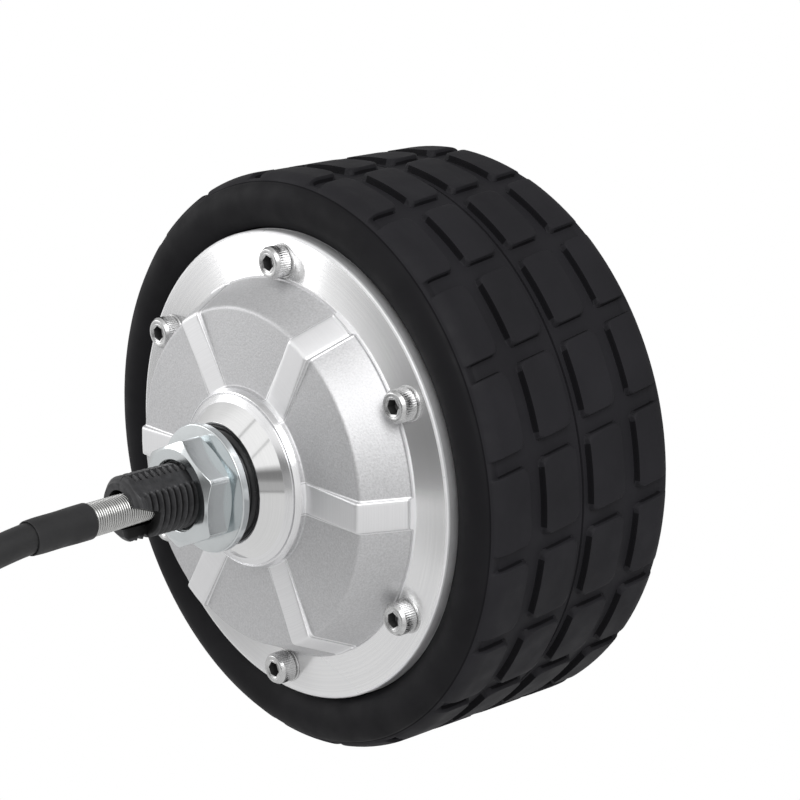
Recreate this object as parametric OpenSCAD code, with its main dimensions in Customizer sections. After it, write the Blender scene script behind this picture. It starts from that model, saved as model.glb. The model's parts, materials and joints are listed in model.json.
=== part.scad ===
// Robot drive wheel: a hub motor inside a small rubber tyre, on a hollow axle that comes out of
// one side. The axle and stator stand still, and the tyre, rim, cover and magnets turn round them.
// Origin: on the spin axis, where the axle comes out of its nut. -Y along the axle, +Z up.
// Each round piece is drawn round Z, with z = 0 at the tyre's mid-plane and z up towards the nut.

/* [Tyre] */
// Diameter over the tread blocks
tyre_d = 127; // [124:0.5:132]
// Width over the bulge of the sidewalls
tyre_w = 55; // [54:0.5:58]
// Width where the tyre's edges meet the rim
bead_w = 49.5; // [49.2:0.1:51]
// Rounding between tread and sidewall
shoulder_r = 6; // [4:0.5:8]
// Depth of the tread grooves
tread_depth = 1.4; // [0.8:0.1:2]
// Width of one inner block along the axle
block_w = 9.4; // [8:0.1:10]
// Width of the groove at the tyre's middle
centre_groove_w = 4.1; // [3:0.1:5]
// Width of the grooves between the inner and outer blocks
side_groove_w = 4.3; // [3:0.1:5]
// Width of the grooves across the tread
cross_groove_w = 3.8; // [2:0.1:5]
// Blocks round the tyre
blocks_n = 20; // [16:1:24]
// Slant of the cross grooves against the axle, in degrees
groove_slant = 8.6; // [0:0.2:12]
// Turn of the first cross groove from the top, in degrees
groove_turn = 2.85; // [0:0.05:4]

/* [Rim] */
// Thickness of the rubber over the rim
tyre_t = 12; // [10.5:0.5:12.5]
// Width of the rim without the cover
rim_w = 49; // [48:0.1:49]
// Thickness of the rim's closed rear wall
rear_wall_t = 4; // [3:0.1:5]
// Recess of the rear wall behind the rim's edge
rear_recess = 1; // [0.5:0.1:1.5]
// Width of the ribs on the rear wall
rear_rib_w = 6; // [4:0.5:8]
// Diameter of the rear bearing's boss
rear_boss_d = 36; // [34:0.5:38]

/* [Front cover] */
// Thickness of the cover's flange
flange_t = 3; // [2.5:0.1:4]
// Height of the cast dome over the flange
dome_h = 10.65; // [10:0.05:12]
// Step at the foot of the dome
dome_step = 0.8; // [0.4:0.1:1.2]
// Radial run of the dome's slope, from its foot to the ridge where it turns flat
dome_run = 5; // [4:0.1:6.5]
// Thickness of the dome's wall
dome_wall = 3.5; // [2.5:0.1:4]
// Diameter of the boss round the front bearing
boss_d = 39.2; // [38:0.1:42]
// Height of the boss over the dome
boss_h = 7.25; // [6.5:0.05:8]
// Diameter of the boss's mouth
mouth_d = 26.6; // [26:0.1:27.4]
// Width of the dome's ribs
rib_w = 6.5; // [4:0.1:8]
// Height of the dome's ribs
rib_h = 1.0; // [0.5:0.1:1.5]
// Ribs on the dome, and as many on the rear wall
ribs_n = 6; // [3:1:8]

/* [Cover screws] */
// Cover screws
screws_n = 6; // [4:1:8]
// Distance of the screws' centres from the rim's edge
screw_inset = 5.85; // [5.25:0.05:6]
// Diameter of a screw's thread
screw_d = 4; // [3:0.1:4.2]
// Length of a screw under its head
screw_len = 12; // [8:1:16]
// Diameter of a screw's head
screw_head_d = 7; // [6:0.1:7.4]
// Height of a screw's head
screw_head_h = 4; // [3:0.1:4.5]
// Width of a screw's hexagon socket
screw_key_w = 3; // [2:0.1:3.4]
// Thickness of a screw's washer
screw_washer_t = 0.4; // [0.3:0.1:0.8]
// Distance between the screws' washers and the dome's foot
foot_gap = 0.05; // [0.05:0.05:0.5]

/* [Axle] */
// Gap between the boss and the axle's washer
washer_gap = 3; // [2.6:0.1:4.6]
// Length of thread that stands out of the nut
thread_out = 14.2; // [12:0.1:20]
// Outer diameter of the thread
thread_d = 14; // [13:0.1:14.2]
// Diameter of the front bearing's seat
front_seat_d = 15; // [14.6:0.1:16]
// Diameter of the rear bearing's seat
rear_seat_d = 12; // [11:0.1:12.5]
// Diameter of the stator's seat
stator_seat_d = 20; // [19:0.1:21]
// Diameter of the hole for the cable
cable_bore_d = 7.5; // [7.4:0.1:8]
// Diameter of the hole's mouth, round the spring guard
guard_bore_d = 8.4; // [8.2:0.1:9]
// Depth of the mouth, where the cable starts to lean
lean_depth = 9; // [8:0.5:10]
// Depth of the flat along the thread
flat_depth = 0.52; // [0.3:0.02:0.7]
// Turn of the flat from the top towards +X, in degrees
flat_turn = 36; // [0:1:50]
// Turn of the slot's upper wall from the top towards +X, in degrees
slot_turn = 74.5; // [70:0.5:80]
// Climb of the slot's upper wall towards the axle's tip, in degrees
slot_slope = 20; // [15:1:25]
// Length of the slot along the axle
slot_len = 5.7; // [4:0.1:8]
// Diameter of the spacer between bearing and washer
spacer_d = 19.6; // [18:0.1:20.5]
// Diameter of the axle's washer
washer_d = 27.7; // [25:0.1:29]
// Thickness of the axle's washer
washer_t = 1.8; // [1.5:0.1:2.5]
// Width of the nut across its flats
nut_w = 21; // [20:0.1:22]
// Height of the nut
nut_h = 7; // [6:0.1:8]
// Turn of a corner of the nut from the top, in degrees
nut_turn = 5; // [0:1:59]

/* [Bearings] */
// Outer diameter of the front bearing
front_bearing_d = 32; // [31:0.1:32.5]
// Width of the front bearing
front_bearing_w = 9; // [8:0.1:9.4]
// Outer diameter of the rear bearing
rear_bearing_d = 28; // [27:0.1:28.5]
// Width of the rear bearing
rear_bearing_w = 8; // [7:0.1:8.4]
// Diameter of a ball
ball_d = 4.7; // [4.2:0.1:4.8]
// Balls in each bearing
balls_n = 8; // [6:1:8]
// Thickness of the shaft seal along the axle
seal_w = 4.8; // [4:0.1:5]
// Outer diameter of the shaft seal
seal_d = 25.2; // [25:0.1:25.6]

/* [Motor] */
// Distance of the magnets' ends from the rim's faces
magnet_inset = 12.5; // [12:0.25:14.5]
// Thickness of the magnets
magnet_t = 2.5; // [2:0.1:3]
// Magnets round the rotor
magnets_n = 20; // [16:2:22]
// Thickness of the rotor's steel ring
ring_t = 3; // [2:0.1:3.5]
// Gap between magnets and stator
air_gap = 0.6; // [0.4:0.1:1]
// Teeth of the stator
teeth_n = 24; // [18:3:24]
// Length of the magnets past each end of the stator plates
stack_inset = 2; // [1.5:0.25:4]
// Width of a stator tooth
tooth_w = 2.6; // [2:0.1:2.8]
// Inner diameter of the stator plates
core_bore_d = 36; // [34:0.5:37]
// Radial width of the plates' closed ring
yoke_w = 4; // [3:0.1:4.4]
// Thickness of the insulators' walls
insulator_t = 1; // [0.6:0.1:1.2]
// Thickness of the wire round a tooth
coil_t = 1.1; // [0.8:0.1:1.15]
// Thickness of the sensor board
board_t = 1.6; // [1:0.1:2]

/* [Cable] */
// Diameter of the cable
cable_d = 6.5; // [6:0.1:6.6]
// Outer diameter of the spring guard
guard_d = 7.1; // [6.9:0.1:7.2]
// Length of the spring guard
guard_len = 20; // [16:1:24]
// Outer diameter of the sleeve over guard and cable
sleeve_d = 7.7; // [7.5:0.1:9]
// Length of the sleeve
sleeve_len = 15; // [12:1:20]
// Lean of the cable in the axle's mouth, in degrees
cable_lean = 5.5; // [4:0.5:6]
// Turn in which the cable leans, from the top towards +X, in degrees
cable_turn = 85; // [80:1:100]
// Middle radius of the coil's innermost turn
coil_in_r = 26.5; // [26:0.5:30]
// Turns in the coil
coil_turns = 2.5; // [2.5:1:3.5]
// Thickness of the ties round the coil
tie_t = 0.5; // [0.4:0.1:1]
// Width of the ties
tie_w = 3; // [2:0.5:5]
// Length of the plug's body
plug_len = 22; // [16:1:26]
// Width of the plug's body
plug_w = 15; // [13:0.5:18]

/* [Hidden] */
$fn = 96;

// Clearances: of a pressed or bolted seat, of a running one, and of a loose hole
press_gap = 0.02;
run_gap = 0.1;
free_gap = 0.15;
// How much smaller the axle is inside its washer and nut, where the threads mesh
thread_bite = 0.2;
// Overshoot of a cut past the face that it cuts
cut = 1;

tyre_r = tyre_d / 2;
rim_r = tyre_r - tyre_t;
floor_z = -tyre_r;
seat_z = rim_w / 2;
flange_z = seat_z + flange_t;
dome_z = flange_z + dome_h;
boss_z = dome_z + boss_h;
screw_circle_r = rim_r - screw_inset;
screw_washer_r = screw_head_d / 2 + 0.3;
cavity_r = screw_circle_r - screw_washer_r - foot_gap;
ridge_r = cavity_r - dome_run;
boss_r = boss_d / 2;
mouth_r = mouth_d / 2;

washer_z = boss_z + washer_gap;
nut_z = washer_z + washer_t;
mid_y = nut_z + nut_h;
tip_z = mid_y + thread_out;
thread_r = thread_d / 2;
engaged_r = thread_r - thread_bite;
tip_chamfer = 1.3;

// The front bearing lies against a shoulder of the cover, under the seal
shoulder_t = 3.2;
seal_z = boss_z - 0.25 - seal_w;
front_bearing_z = seal_z - shoulder_t - front_bearing_w;
pitch_front = (front_seat_d + front_bearing_d) / 4;
rear_web_z = -seat_z + rear_recess;
rear_boss_z = -seat_z - 2.5;
rear_bearing_z = rear_web_z + 1.5;
pitch_rear = (rear_seat_d + rear_bearing_d) / 4;

// The rotor's ring lies in the rim, the magnets in the ring, and the stator inside them
ring_out_r = cavity_r - press_gap;
magnet_out_r = cavity_r - ring_t;
magnet_in_r = magnet_out_r - magnet_t;
stator_r = magnet_in_r - air_gap;
magnet_len = rim_w - 2 * magnet_inset;
stack_h = magnet_len - 2 * stack_inset;
core_bore_r = core_bore_d / 2;
yoke_r = core_bore_r + yoke_w;
shoe_t = 1.4;
shoe_gap = 1.8;
coil_out_r = stator_r - shoe_t - 0.6;
coil_in_edge = yoke_r + insulator_t + free_gap;
end_z = stack_h / 2 + insulator_t;
coil_end_z = end_z + free_gap + coil_t + 1;
board_z = coil_end_z + 1.2;
window_z = board_z + 4.5;
window_len = 6;
lead_d = 1.7;
lead_circle_r = 1.8;
window_w = 2 * (lead_circle_r + lead_d / 2 + free_gap);
lead_z = window_z + window_len / 2;
seat_end_z = front_bearing_z - 3.5;

// Where the cable leans out of the axle, and the pieces on it, by their distance from there
lean_z = tip_z - lean_depth;
guard_from = 0.5;
sleeve_from = guard_from + guard_len - 2;
cable_r = cable_d / 2;

lean_y = mid_y - lean_z;
coil_z = floor_z + tie_t + cable_r;

// The cable's way down from its sleeve to the coil, chosen by hand: x, distance along Y from
// where it leaves the axle, and share of the way down
CABLE_WAY = [
    [4.2, 42.8, 0.012], [4.8, 50.8, 0.042], [5, 58.8, 0.117], [5, 65.8, 0.234], [5, 70.8, 0.377],
    [5, 74.8, 0.527], [5, 79.8, 0.686], [5, 86.8, 0.812], [5, 95.8, 0.912], [5, 106.8, 0.996]
];
CABLE_ROUTE = concat(
    [for (d = [-0.2, 8, 17, 25, 33]) [
        d * sin(cable_lean) * sin(cable_turn), lean_y - d * cos(cable_lean),
        d * sin(cable_lean) * cos(cable_turn)
    ]],
    [for (p = CABLE_WAY) [p[0], lean_y - p[1], p[2] * coil_z]]
);
coil_pos = [5 - coil_in_r, lean_y - 106.8];
coil_pitch = cable_d + 0.1;
coil_end_r = coil_in_r + coil_pitch * coil_turns;
tail_len = 26;
boot_len = 14;
plug_h = cable_d + 2 * tie_t;
tail_x = coil_pos[0] - coil_end_r;
boot_y = coil_pos[1] + tail_len;
plug_y = boot_y + boot_len;

// Moves a piece that is drawn round Z into its place on the wheel
module on_axle() {
    translate([0, mid_y, 0]) rotate([90, 0, 0]) children();
}

// Copies a piece round Z, starting at the top and turning towards +X
module around(n, first = 0) {
    for (i = [0:n - 1])
        rotate([0, 0, -first - i * 360 / n]) children();
}

module ring(r_in, r_out, z0, z1) {
    translate([0, 0, z0]) difference() {
        cylinder(r = r_out, h = z1 - z0);
        translate([0, 0, -cut]) cylinder(r = r_in, h = z1 - z0 + 2 * cut);
    }
}

module disc(r, z0, z1) {
    translate([0, 0, z0]) cylinder(r = r, h = z1 - z0);
}

// A block from x = -w/2 to w/2, between two radii on the +Y side, and between two heights
module radial_block(w, r0, r1, z0, z1) {
    translate([-w / 2, r0, z0]) cube([w, r1 - r0, z1 - z0]);
}

// Puts a piece on the cable's leaning line, from the point where it leaves the bore's middle
module on_cable_line() {
    on_axle() translate([0, 0, lean_z]) rotate([0, 0, -cable_turn]) rotate([-cable_lean, 0, 0]) children();
}

/* The wheel: what turns */

// Half the tyre's outline from the mid-plane to the bead, as [radius, z]
function shoulder_arc(steps = 6) = [for (i = [0:steps])
    let (turn = i * 90 / steps)
    [tyre_r - shoulder_r + shoulder_r * cos(turn), tyre_w / 2 - shoulder_r + shoulder_r * sin(turn)]];
function sidewall_arc(steps = 4) = [for (i = [1:steps])
    let (r = tyre_r - shoulder_r - (tyre_r - shoulder_r - rim_r - press_gap) * i / steps)
    [r, tyre_w / 2 - (tyre_w - bead_w) / 2 * pow(i / steps, 2)]];
inner_edge = centre_groove_w / 2;
outer_edge = inner_edge + block_w;
side_edge = outer_edge + side_groove_w;
base_r = tyre_r - tread_depth;
half_outline = concat([
    [base_r, 0], [base_r, inner_edge], [tyre_r, inner_edge], [tyre_r, outer_edge],
    [base_r, outer_edge], [base_r, side_edge], [tyre_r, side_edge]
], shoulder_arc(), sidewall_arc());

module tyre() {
    last = len(half_outline) - 1;
    mirrored = [for (i = [last:-1:1]) [half_outline[i][0], -half_outline[i][1]]];
    color([0.13, 0.13, 0.14]) on_axle() difference() {
        rotate_extrude() polygon(concat(mirrored, half_outline));
        around(blocks_n, groove_turn)
            translate([0, base_r, 0]) rotate([0, groove_slant, 0])
                translate([-cross_groove_w / 2, 0, -tyre_w])
                    cube([cross_groove_w, tread_depth + cut, 2 * tyre_w]);
    }
}

module rim() {
    boss = rear_boss_d / 2;
    lip = 1;
    stop_z = -magnet_len / 2 - 1;
    inner_z = rear_web_z + rear_wall_t;
    pocket_r = rear_bearing_d / 2 + press_gap;
    pocket_z = rear_bearing_z + rear_bearing_w;
    cap_r = pocket_r - 2.5;
    color([0.80, 0.81, 0.83]) on_axle() difference() {
        union() {
            rotate_extrude() polygon([
                [rim_r, seat_z], [cavity_r, seat_z], [cavity_r, stop_z], [cavity_r - 2, stop_z],
                [cavity_r - 2, inner_z + 2], [cavity_r - 5, inner_z], [boss, inner_z], [boss, pocket_z + 1.5],
                [pocket_r, pocket_z + 1.5], [pocket_r, rear_bearing_z], [cap_r, rear_bearing_z],
                [cap_r, rear_boss_z], [boss - 2, rear_boss_z], [boss, rear_boss_z + 2], [boss, rear_web_z],
                [cavity_r + 1.5, rear_web_z], [cavity_r + 1.5 + rear_recess, -seat_z],
                [rim_r - lip / 2, -seat_z], [rim_r, -seat_z + lip / 2]
            ]);
            around(ribs_n, 180 / ribs_n)
                radial_block(rear_rib_w, boss - 1, cavity_r + 2, -seat_z - 0.8, rear_web_z + 1);
        }
        around(screws_n)
            translate([0, screw_circle_r, flange_z + screw_washer_t - screw_len - 1])
                cylinder(d = screw_d + 2 * press_gap, h = screw_len + cut);
        rotate_extrude()
            translate([o_ring_r - o_ring_w * 0.6, seat_z - o_ring_w])
                square([o_ring_w * 1.2, o_ring_w + cut]);
    }
}

// The o-ring lies between the motor space and the screws
o_ring_w = 0.9;
o_ring_r = (cavity_r + screw_circle_r - screw_d / 2) / 2;

module cover_o_ring() {
    color([0.10, 0.10, 0.11]) on_axle() rotate_extrude()
        translate([o_ring_r, seat_z - o_ring_w / 2]) circle(d = o_ring_w - press_gap, $fn = 32);
}

// The dome's outer surface at a height over it, as [radius, z]
function dome_outline(lift) = [
    [cavity_r, flange_z], [cavity_r, flange_z + dome_step + lift], [ridge_r, dome_z + lift],
    [boss_r, dome_z + lift]
];

module front_cover() {
    spigot_r = cavity_r - press_gap;
    spigot = 2;
    edge = 0.4;
    band_r = mouth_r + boss_h * 0.5;
    lip_z = dome_z + 2.35;
    pocket_r = front_bearing_d / 2 + press_gap;
    shoulder_r1 = spacer_d / 2 + 1.2;
    seal_r = seal_d / 2 + press_gap;
    color([0.82, 0.82, 0.84]) on_axle() difference() {
        union() {
            rotate_extrude() polygon([
                [rim_r - edge / 4, seat_z], [rim_r - edge / 4, flange_z - edge], [rim_r - edge * 1.25, flange_z],
                [cavity_r, flange_z], [cavity_r, flange_z + dome_step], [ridge_r, dome_z],
                [boss_r, dome_z], [boss_r, lip_z - 1.35], [boss_r - 0.6, lip_z],
                [band_r, boss_z - (band_r - mouth_r) * 1.05], [mouth_r, boss_z],
                [seal_r, boss_z - mouth_r + seal_r], [seal_r, seal_z], [shoulder_r1, seal_z],
                [shoulder_r1, seal_z - shoulder_t], [pocket_r, seal_z - shoulder_t],
                [pocket_r, front_bearing_z - 0.1], [boss_r, front_bearing_z - 0.1],
                [boss_r, dome_z - dome_wall], [ridge_r - dome_wall * 0.7, dome_z - dome_wall],
                [cavity_r - dome_wall, flange_z - 0.5], [cavity_r - dome_wall, seat_z - spigot],
                [spigot_r, seat_z - spigot], [spigot_r, seat_z]
            ]);
            intersection() {
                rotate_extrude() polygon(concat(dome_outline(rib_h), [
                    [boss_r, dome_z - dome_wall / 2], [ridge_r - dome_wall / 2, dome_z - dome_wall / 2],
                    [cavity_r - dome_wall / 2, flange_z]
                ]));
                around(ribs_n, 180 / ribs_n)
                    radial_block(rib_w, boss_r + 0.8, cavity_r + cut, flange_z, dome_z + rib_h + cut);
            }
        }
        around(screws_n)
            translate([0, screw_circle_r, seat_z - cut])
                cylinder(d = screw_d + 2 * free_gap, h = flange_t + 2 * cut);
    }
}

module cover_screws() {
    chamfer = 0.4;
    head_z = flange_z + screw_washer_t;
    color([0.78, 0.77, 0.74]) on_axle() around(screws_n) translate([0, screw_circle_r, head_z]) {
        difference() {
            union() {
                rotate_extrude() polygon([
                    [0, 0], [screw_head_d / 2, 0], [screw_head_d / 2, screw_head_h - chamfer],
                    [screw_head_d / 2 - chamfer, screw_head_h], [0, screw_head_h]
                ]);
                translate([0, 0, -screw_len]) cylinder(d = screw_d, h = screw_len + chamfer);
            }
            translate([0, 0, screw_head_h * 0.45])
                cylinder(d = screw_key_w / cos(30), h = screw_head_h, $fn = 6);
        }
    }
}

module cover_screw_washers() {
    color([0.75, 0.75, 0.76]) on_axle() around(screws_n) translate([0, screw_circle_r, 0])
        ring(screw_d / 2 + free_gap, screw_washer_r, flange_z, flange_z + screw_washer_t);
}

module rear_cap() {
    cap_r = rear_bearing_d / 2 - 2.5;
    top_z = rear_boss_z + 0.4;
    color([0.16, 0.16, 0.17]) on_axle() rotate_extrude() polygon([
        [0, top_z], [cap_r - 0.8, top_z], [cap_r, top_z + 0.8], [cap_r, top_z + 2.2], [cap_r - 1, top_z + 2.2],
        [cap_r - 1, top_z + 1.2], [0, top_z + 1.2]
    ]);
}

module shaft_seal() {
    seal_in = spacer_d / 2 + run_gap;
    top_z = seal_z + seal_w;
    out = seal_d / 2;
    groove = 0.5;
    middle = (seal_in + out) / 2;
    color([0.07, 0.07, 0.08]) on_axle() rotate_extrude() polygon([
        [seal_in + 0.6, seal_z], [out, seal_z], [out, top_z], [middle + 0.4, top_z + groove],
        [middle, top_z], [middle - 0.4, top_z + groove], [seal_in, top_z + groove], [seal_in, seal_z + 1.5]
    ]);
}

module rotor_ring() {
    color([0.45, 0.46, 0.48]) on_axle()
        ring(magnet_out_r, ring_out_r, -magnet_len / 2 - 1, magnet_len / 2 + 1);
}

module magnets() {
    share = 0.86;
    width = 2 * magnet_in_r * sin(180 / magnets_n * share);
    color([0.62, 0.63, 0.65]) on_axle() intersection() {
        ring(magnet_in_r, magnet_out_r - press_gap, -magnet_len / 2, magnet_len / 2);
        around(magnets_n) radial_block(width, magnet_in_r / 2, cavity_r, -magnet_len, magnet_len);
    }
}

/* Bearings */

module races(r0, r1, pitch, w, z0) {
    difference() {
        ring(r0, r1, z0, z0 + w);
        translate([0, 0, z0 + w / 2]) rotate_extrude()
            translate([pitch, 0]) circle(r = ball_d / 2 + free_gap);
    }
}

module balls(pitch, w, z0) {
    around(balls_n) translate([0, pitch, z0 + w / 2]) sphere(d = ball_d, $fn = 48);
}

// A crown cage: a ring on one side of the balls, with a pocket for each
module cage(pitch, w, z0) {
    middle = z0 + w / 2;
    difference() {
        ring(pitch - 0.8, pitch + 0.8, middle - ball_d / 2 - 0.9, middle + 0.6);
        around(balls_n) translate([0, pitch, middle]) sphere(d = ball_d + 2 * run_gap, $fn = 48);
    }
}

module shields(pitch, w, z0) {
    plate = 0.5;
    inner = pitch - ball_d * 0.36 + free_gap;
    outer = pitch + ball_d * 0.36 - press_gap;
    ring(inner, outer, z0 + 0.1, z0 + plate);
    ring(inner, outer, z0 + w - plate, z0 + w - 0.1);
}

race_step = ball_d * 0.36;

module front_bearing_outer() {
    color([0.70, 0.71, 0.73]) on_axle()
        races(pitch_front + race_step, front_bearing_d / 2, pitch_front, front_bearing_w, front_bearing_z);
}

module front_bearing_inner() {
    color([0.70, 0.71, 0.73]) on_axle()
        races(front_seat_d / 2 + press_gap, pitch_front - race_step, pitch_front,
              front_bearing_w, front_bearing_z);
}

module front_bearing_balls() {
    color([0.85, 0.85, 0.87]) on_axle() balls(pitch_front, front_bearing_w, front_bearing_z);
}

module front_bearing_cage() {
    color([0.55, 0.45, 0.25]) on_axle() cage(pitch_front, front_bearing_w, front_bearing_z);
}

module front_bearing_shields() {
    color([0.12, 0.12, 0.13]) on_axle() shields(pitch_front, front_bearing_w, front_bearing_z);
}

module rear_bearing_outer() {
    color([0.70, 0.71, 0.73]) on_axle()
        races(pitch_rear + race_step, rear_bearing_d / 2, pitch_rear, rear_bearing_w, rear_bearing_z);
}

module rear_bearing_inner() {
    color([0.70, 0.71, 0.73]) on_axle()
        races(rear_seat_d / 2 + press_gap, pitch_rear - race_step, pitch_rear, rear_bearing_w, rear_bearing_z);
}

module rear_bearing_balls() {
    color([0.85, 0.85, 0.87]) on_axle() balls(pitch_rear, rear_bearing_w, rear_bearing_z);
}

module rear_bearing_cage() {
    color([0.55, 0.45, 0.25]) on_axle() cage(pitch_rear, rear_bearing_w, rear_bearing_z);
}

module rear_bearing_shields() {
    color([0.12, 0.12, 0.13]) on_axle() shields(pitch_rear, rear_bearing_w, rear_bearing_z);
}

/* The axle: what stands still */

// The opening in the side of the axle's mouth. Its upper wall climbs towards the tip, its lower
// wall is square to that one, and its end wall lies across the axle.
module cable_slot() {
    crossing = 0.74;
    intersection() {
        translate([0, 0, tip_z - crossing]) rotate([0, 0, -slot_turn]) rotate([0, -slot_slope, 0])
            translate([0, -free_gap, -thread_d]) cube([thread_d, thread_d, 2 * thread_d]);
        disc(thread_d, tip_z - slot_len, tip_z + cut);
    }
}

module axle() {
    rear_z = rear_bearing_z + rear_bearing_w;
    seat_from = -stack_h / 2 - 2;
    bore_r = cable_bore_d / 2;
    step_r = (front_seat_d + 3) / 2;
    color([0.14, 0.14, 0.15]) on_axle() difference() {
        rotate_extrude() polygon([
            [0, rear_bearing_z - 0.5], [rear_seat_d / 2 - 0.5, rear_bearing_z - 0.5],
            [rear_seat_d / 2, rear_bearing_z], [rear_seat_d / 2, rear_z], [rear_seat_d / 2 + 2.2, rear_z],
            [rear_seat_d / 2 + 2.2, seat_from], [stator_seat_d / 2, seat_from],
            [stator_seat_d / 2, seat_end_z], [step_r, seat_end_z], [step_r, front_bearing_z],
            [front_seat_d / 2, front_bearing_z], [front_seat_d / 2, washer_z], [engaged_r, washer_z],
            [engaged_r, nut_z + nut_h], [thread_r, nut_z + nut_h], [thread_r, tip_z - tip_chamfer],
            [thread_r - tip_chamfer, tip_z], [0, tip_z]
        ]);
        disc(bore_r, window_z - 1, lean_z);
        disc(guard_bore_d / 2, lean_z - 0.5, tip_z + cut);
        translate([0, 0, lean_z]) rotate([0, 0, -cable_turn]) rotate([-cable_lean, 0, 0])
            cylinder(r = bore_r, h = lean_depth + 2 * cut);
        radial_block(window_w, -stator_seat_d, 0, window_z, window_z + window_len);
        cable_slot();
        rotate([0, 0, -flat_turn])
            radial_block(thread_d, thread_r - flat_depth, thread_d, washer_z + 0.5, tip_z + cut);
        radial_block(key_w + 2 * press_gap, stator_seat_d / 2 - key_h / 2, stator_seat_d,
                     -key_len / 2, key_len / 2);
    }
}

// The key between axle and stator hub
key_w = 4;
key_h = 4;
key_len = stack_h - 4;

module stator_key() {
    color([0.55, 0.56, 0.58]) on_axle()
        radial_block(key_w, stator_seat_d / 2 - key_h / 2 + press_gap, stator_seat_d / 2 + key_h / 2 - press_gap,
            -key_len / 2 + press_gap, key_len / 2 - press_gap);
}

module axle_nut() {
    corner_r = nut_w / 2 / cos(30);
    face_r = nut_w / 2 - 0.4;
    slope = (corner_r + 0.2 - face_r) * tan(30);
    lead_in = 0.6;
    bore_r = engaged_r + press_gap;
    color([0.82, 0.83, 0.84]) on_axle() difference() {
        intersection() {
            rotate([0, 0, 90 - nut_turn]) translate([0, 0, nut_z]) cylinder(r = corner_r, h = nut_h, $fn = 6);
            rotate_extrude() polygon([
                [0, nut_z], [face_r, nut_z], [corner_r + 0.2, nut_z + slope],
                [corner_r + 0.2, nut_z + nut_h - slope], [face_r, nut_z + nut_h], [0, nut_z + nut_h]
            ]);
        }
        disc(bore_r, nut_z - cut, nut_z + nut_h + cut);
        translate([0, 0, nut_z + nut_h - lead_in])
            cylinder(r1 = bore_r, r2 = bore_r + 2 * lead_in, h = 2 * lead_in);
    }
}

module axle_washer() {
    edge = 0.25;
    hole = thread_r + free_gap;
    color([0.86, 0.86, 0.87]) on_axle() rotate_extrude() polygon([
        [hole, washer_z], [washer_d / 2 - edge, washer_z], [washer_d / 2, washer_z + edge],
        [washer_d / 2, nut_z - edge], [washer_d / 2 - edge, nut_z], [hole, nut_z]
    ]);
}

module axle_spacer() {
    color([0.62, 0.63, 0.65]) on_axle()
        ring(front_seat_d / 2 + press_gap, spacer_d / 2, front_bearing_z + front_bearing_w, washer_z);
}

module stator_hub() {
    collar_r = stator_seat_d / 2 + 3;
    collar_z = stack_h / 2 + 1;
    web_z = 3;
    wall = 2;
    seat_r = stator_seat_d / 2 + press_gap;
    hole_d = 1.8;
    color([0.70, 0.71, 0.73]) on_axle() difference() {
        union() {
            ring(seat_r, collar_r, -collar_z, collar_z);
            ring(collar_r - 1, core_bore_r - wall + 0.5, -web_z, web_z);
            ring(core_bore_r - wall, core_bore_r - press_gap, -stack_h / 2, stack_h / 2);
        }
        around(ribs_n, 180 / ribs_n) translate([0, (collar_r + core_bore_r - wall) / 2, -web_z - cut])
            cylinder(d = hole_d, h = 2 * (web_z + cut));
        radial_block(key_w + 2 * press_gap, 0, stator_seat_d / 2 + key_h / 2, -collar_z - cut, collar_z + cut);
    }
}

module stator_core() {
    color([0.42, 0.43, 0.46]) on_axle() translate([0, 0, -stack_h / 2]) linear_extrude(stack_h) difference() {
        union() {
            difference() {
                circle(r = yoke_r);
                circle(r = core_bore_r);
            }
            difference() {
                circle(r = stator_r);
                circle(r = stator_r - shoe_t);
            }
            around(teeth_n) translate([-tooth_w / 2, yoke_r - 1]) square([tooth_w, stator_r - yoke_r]);
        }
        around(teeth_n, 180 / teeth_n)
            translate([-shoe_gap / 2, stator_r - shoe_t - 1]) square([shoe_gap, shoe_t + 2]);
    }
}

// Two plastic frames over the stack's ends, with an arm over each tooth
module stator_insulators() {
    arm_w = tooth_w + 0.6;
    wall_end = board_z;
    color([0.88, 0.86, 0.80]) on_axle() for (side = [0, 1]) mirror([0, 0, side]) {
        ring(yoke_r - 2, yoke_r + insulator_t, stack_h / 2, side == 0 ? wall_end : coil_end_z);
        around(teeth_n)
            radial_block(arm_w, yoke_r, stator_r - 0.4, stack_h / 2, end_z);
    }
}

// One coil round each tooth, wider towards the outside, where the slot is wider
module stator_windings() {
    hole_w = tooth_w + 0.6 + 2 * free_gap;
    in_w = hole_w + 2 * coil_t;
    out_w = in_w + 2 * (coil_out_r - coil_in_edge) * tan(180 / teeth_n) * 0.8;
    color([0.72, 0.38, 0.16]) on_axle() around(teeth_n) difference() {
        translate([0, 0, -coil_end_z]) linear_extrude(2 * coil_end_z) polygon([
            [-in_w / 2, coil_in_edge], [in_w / 2, coil_in_edge],
            [out_w / 2, coil_out_r], [-out_w / 2, coil_out_r]
        ]);
        radial_block(hole_w, coil_in_edge - cut, coil_out_r + cut, -end_z - free_gap, end_z + free_gap);
    }
}

// The sensor board covers the upper part of the stator's front end
module hall_board() {
    in_r = yoke_r - 2;
    out_r = coil_out_r;
    color([0.10, 0.35, 0.20]) on_axle() translate([0, 0, board_z]) linear_extrude(board_t) difference() {
        circle(r = out_r);
        circle(r = in_r);
        translate([-out_r - cut, -out_r - cut]) square([2 * (out_r + cut), out_r + cut - in_r / 2]);
    }
}

// Three sensors, two slots apart, stand on the board over the rotor's magnets
module hall_sensors() {
    chip = [4, 3, 1.5];
    color([0.08, 0.08, 0.09]) on_axle() for (i = [-1:1])
        rotate([0, 0, i * 2 * 360 / teeth_n])
            translate([-chip[0] / 2, coil_out_r - 1 - chip[1], board_z + board_t]) cube(chip);
}

lead_end_z = lean_z - 0.75;

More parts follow.
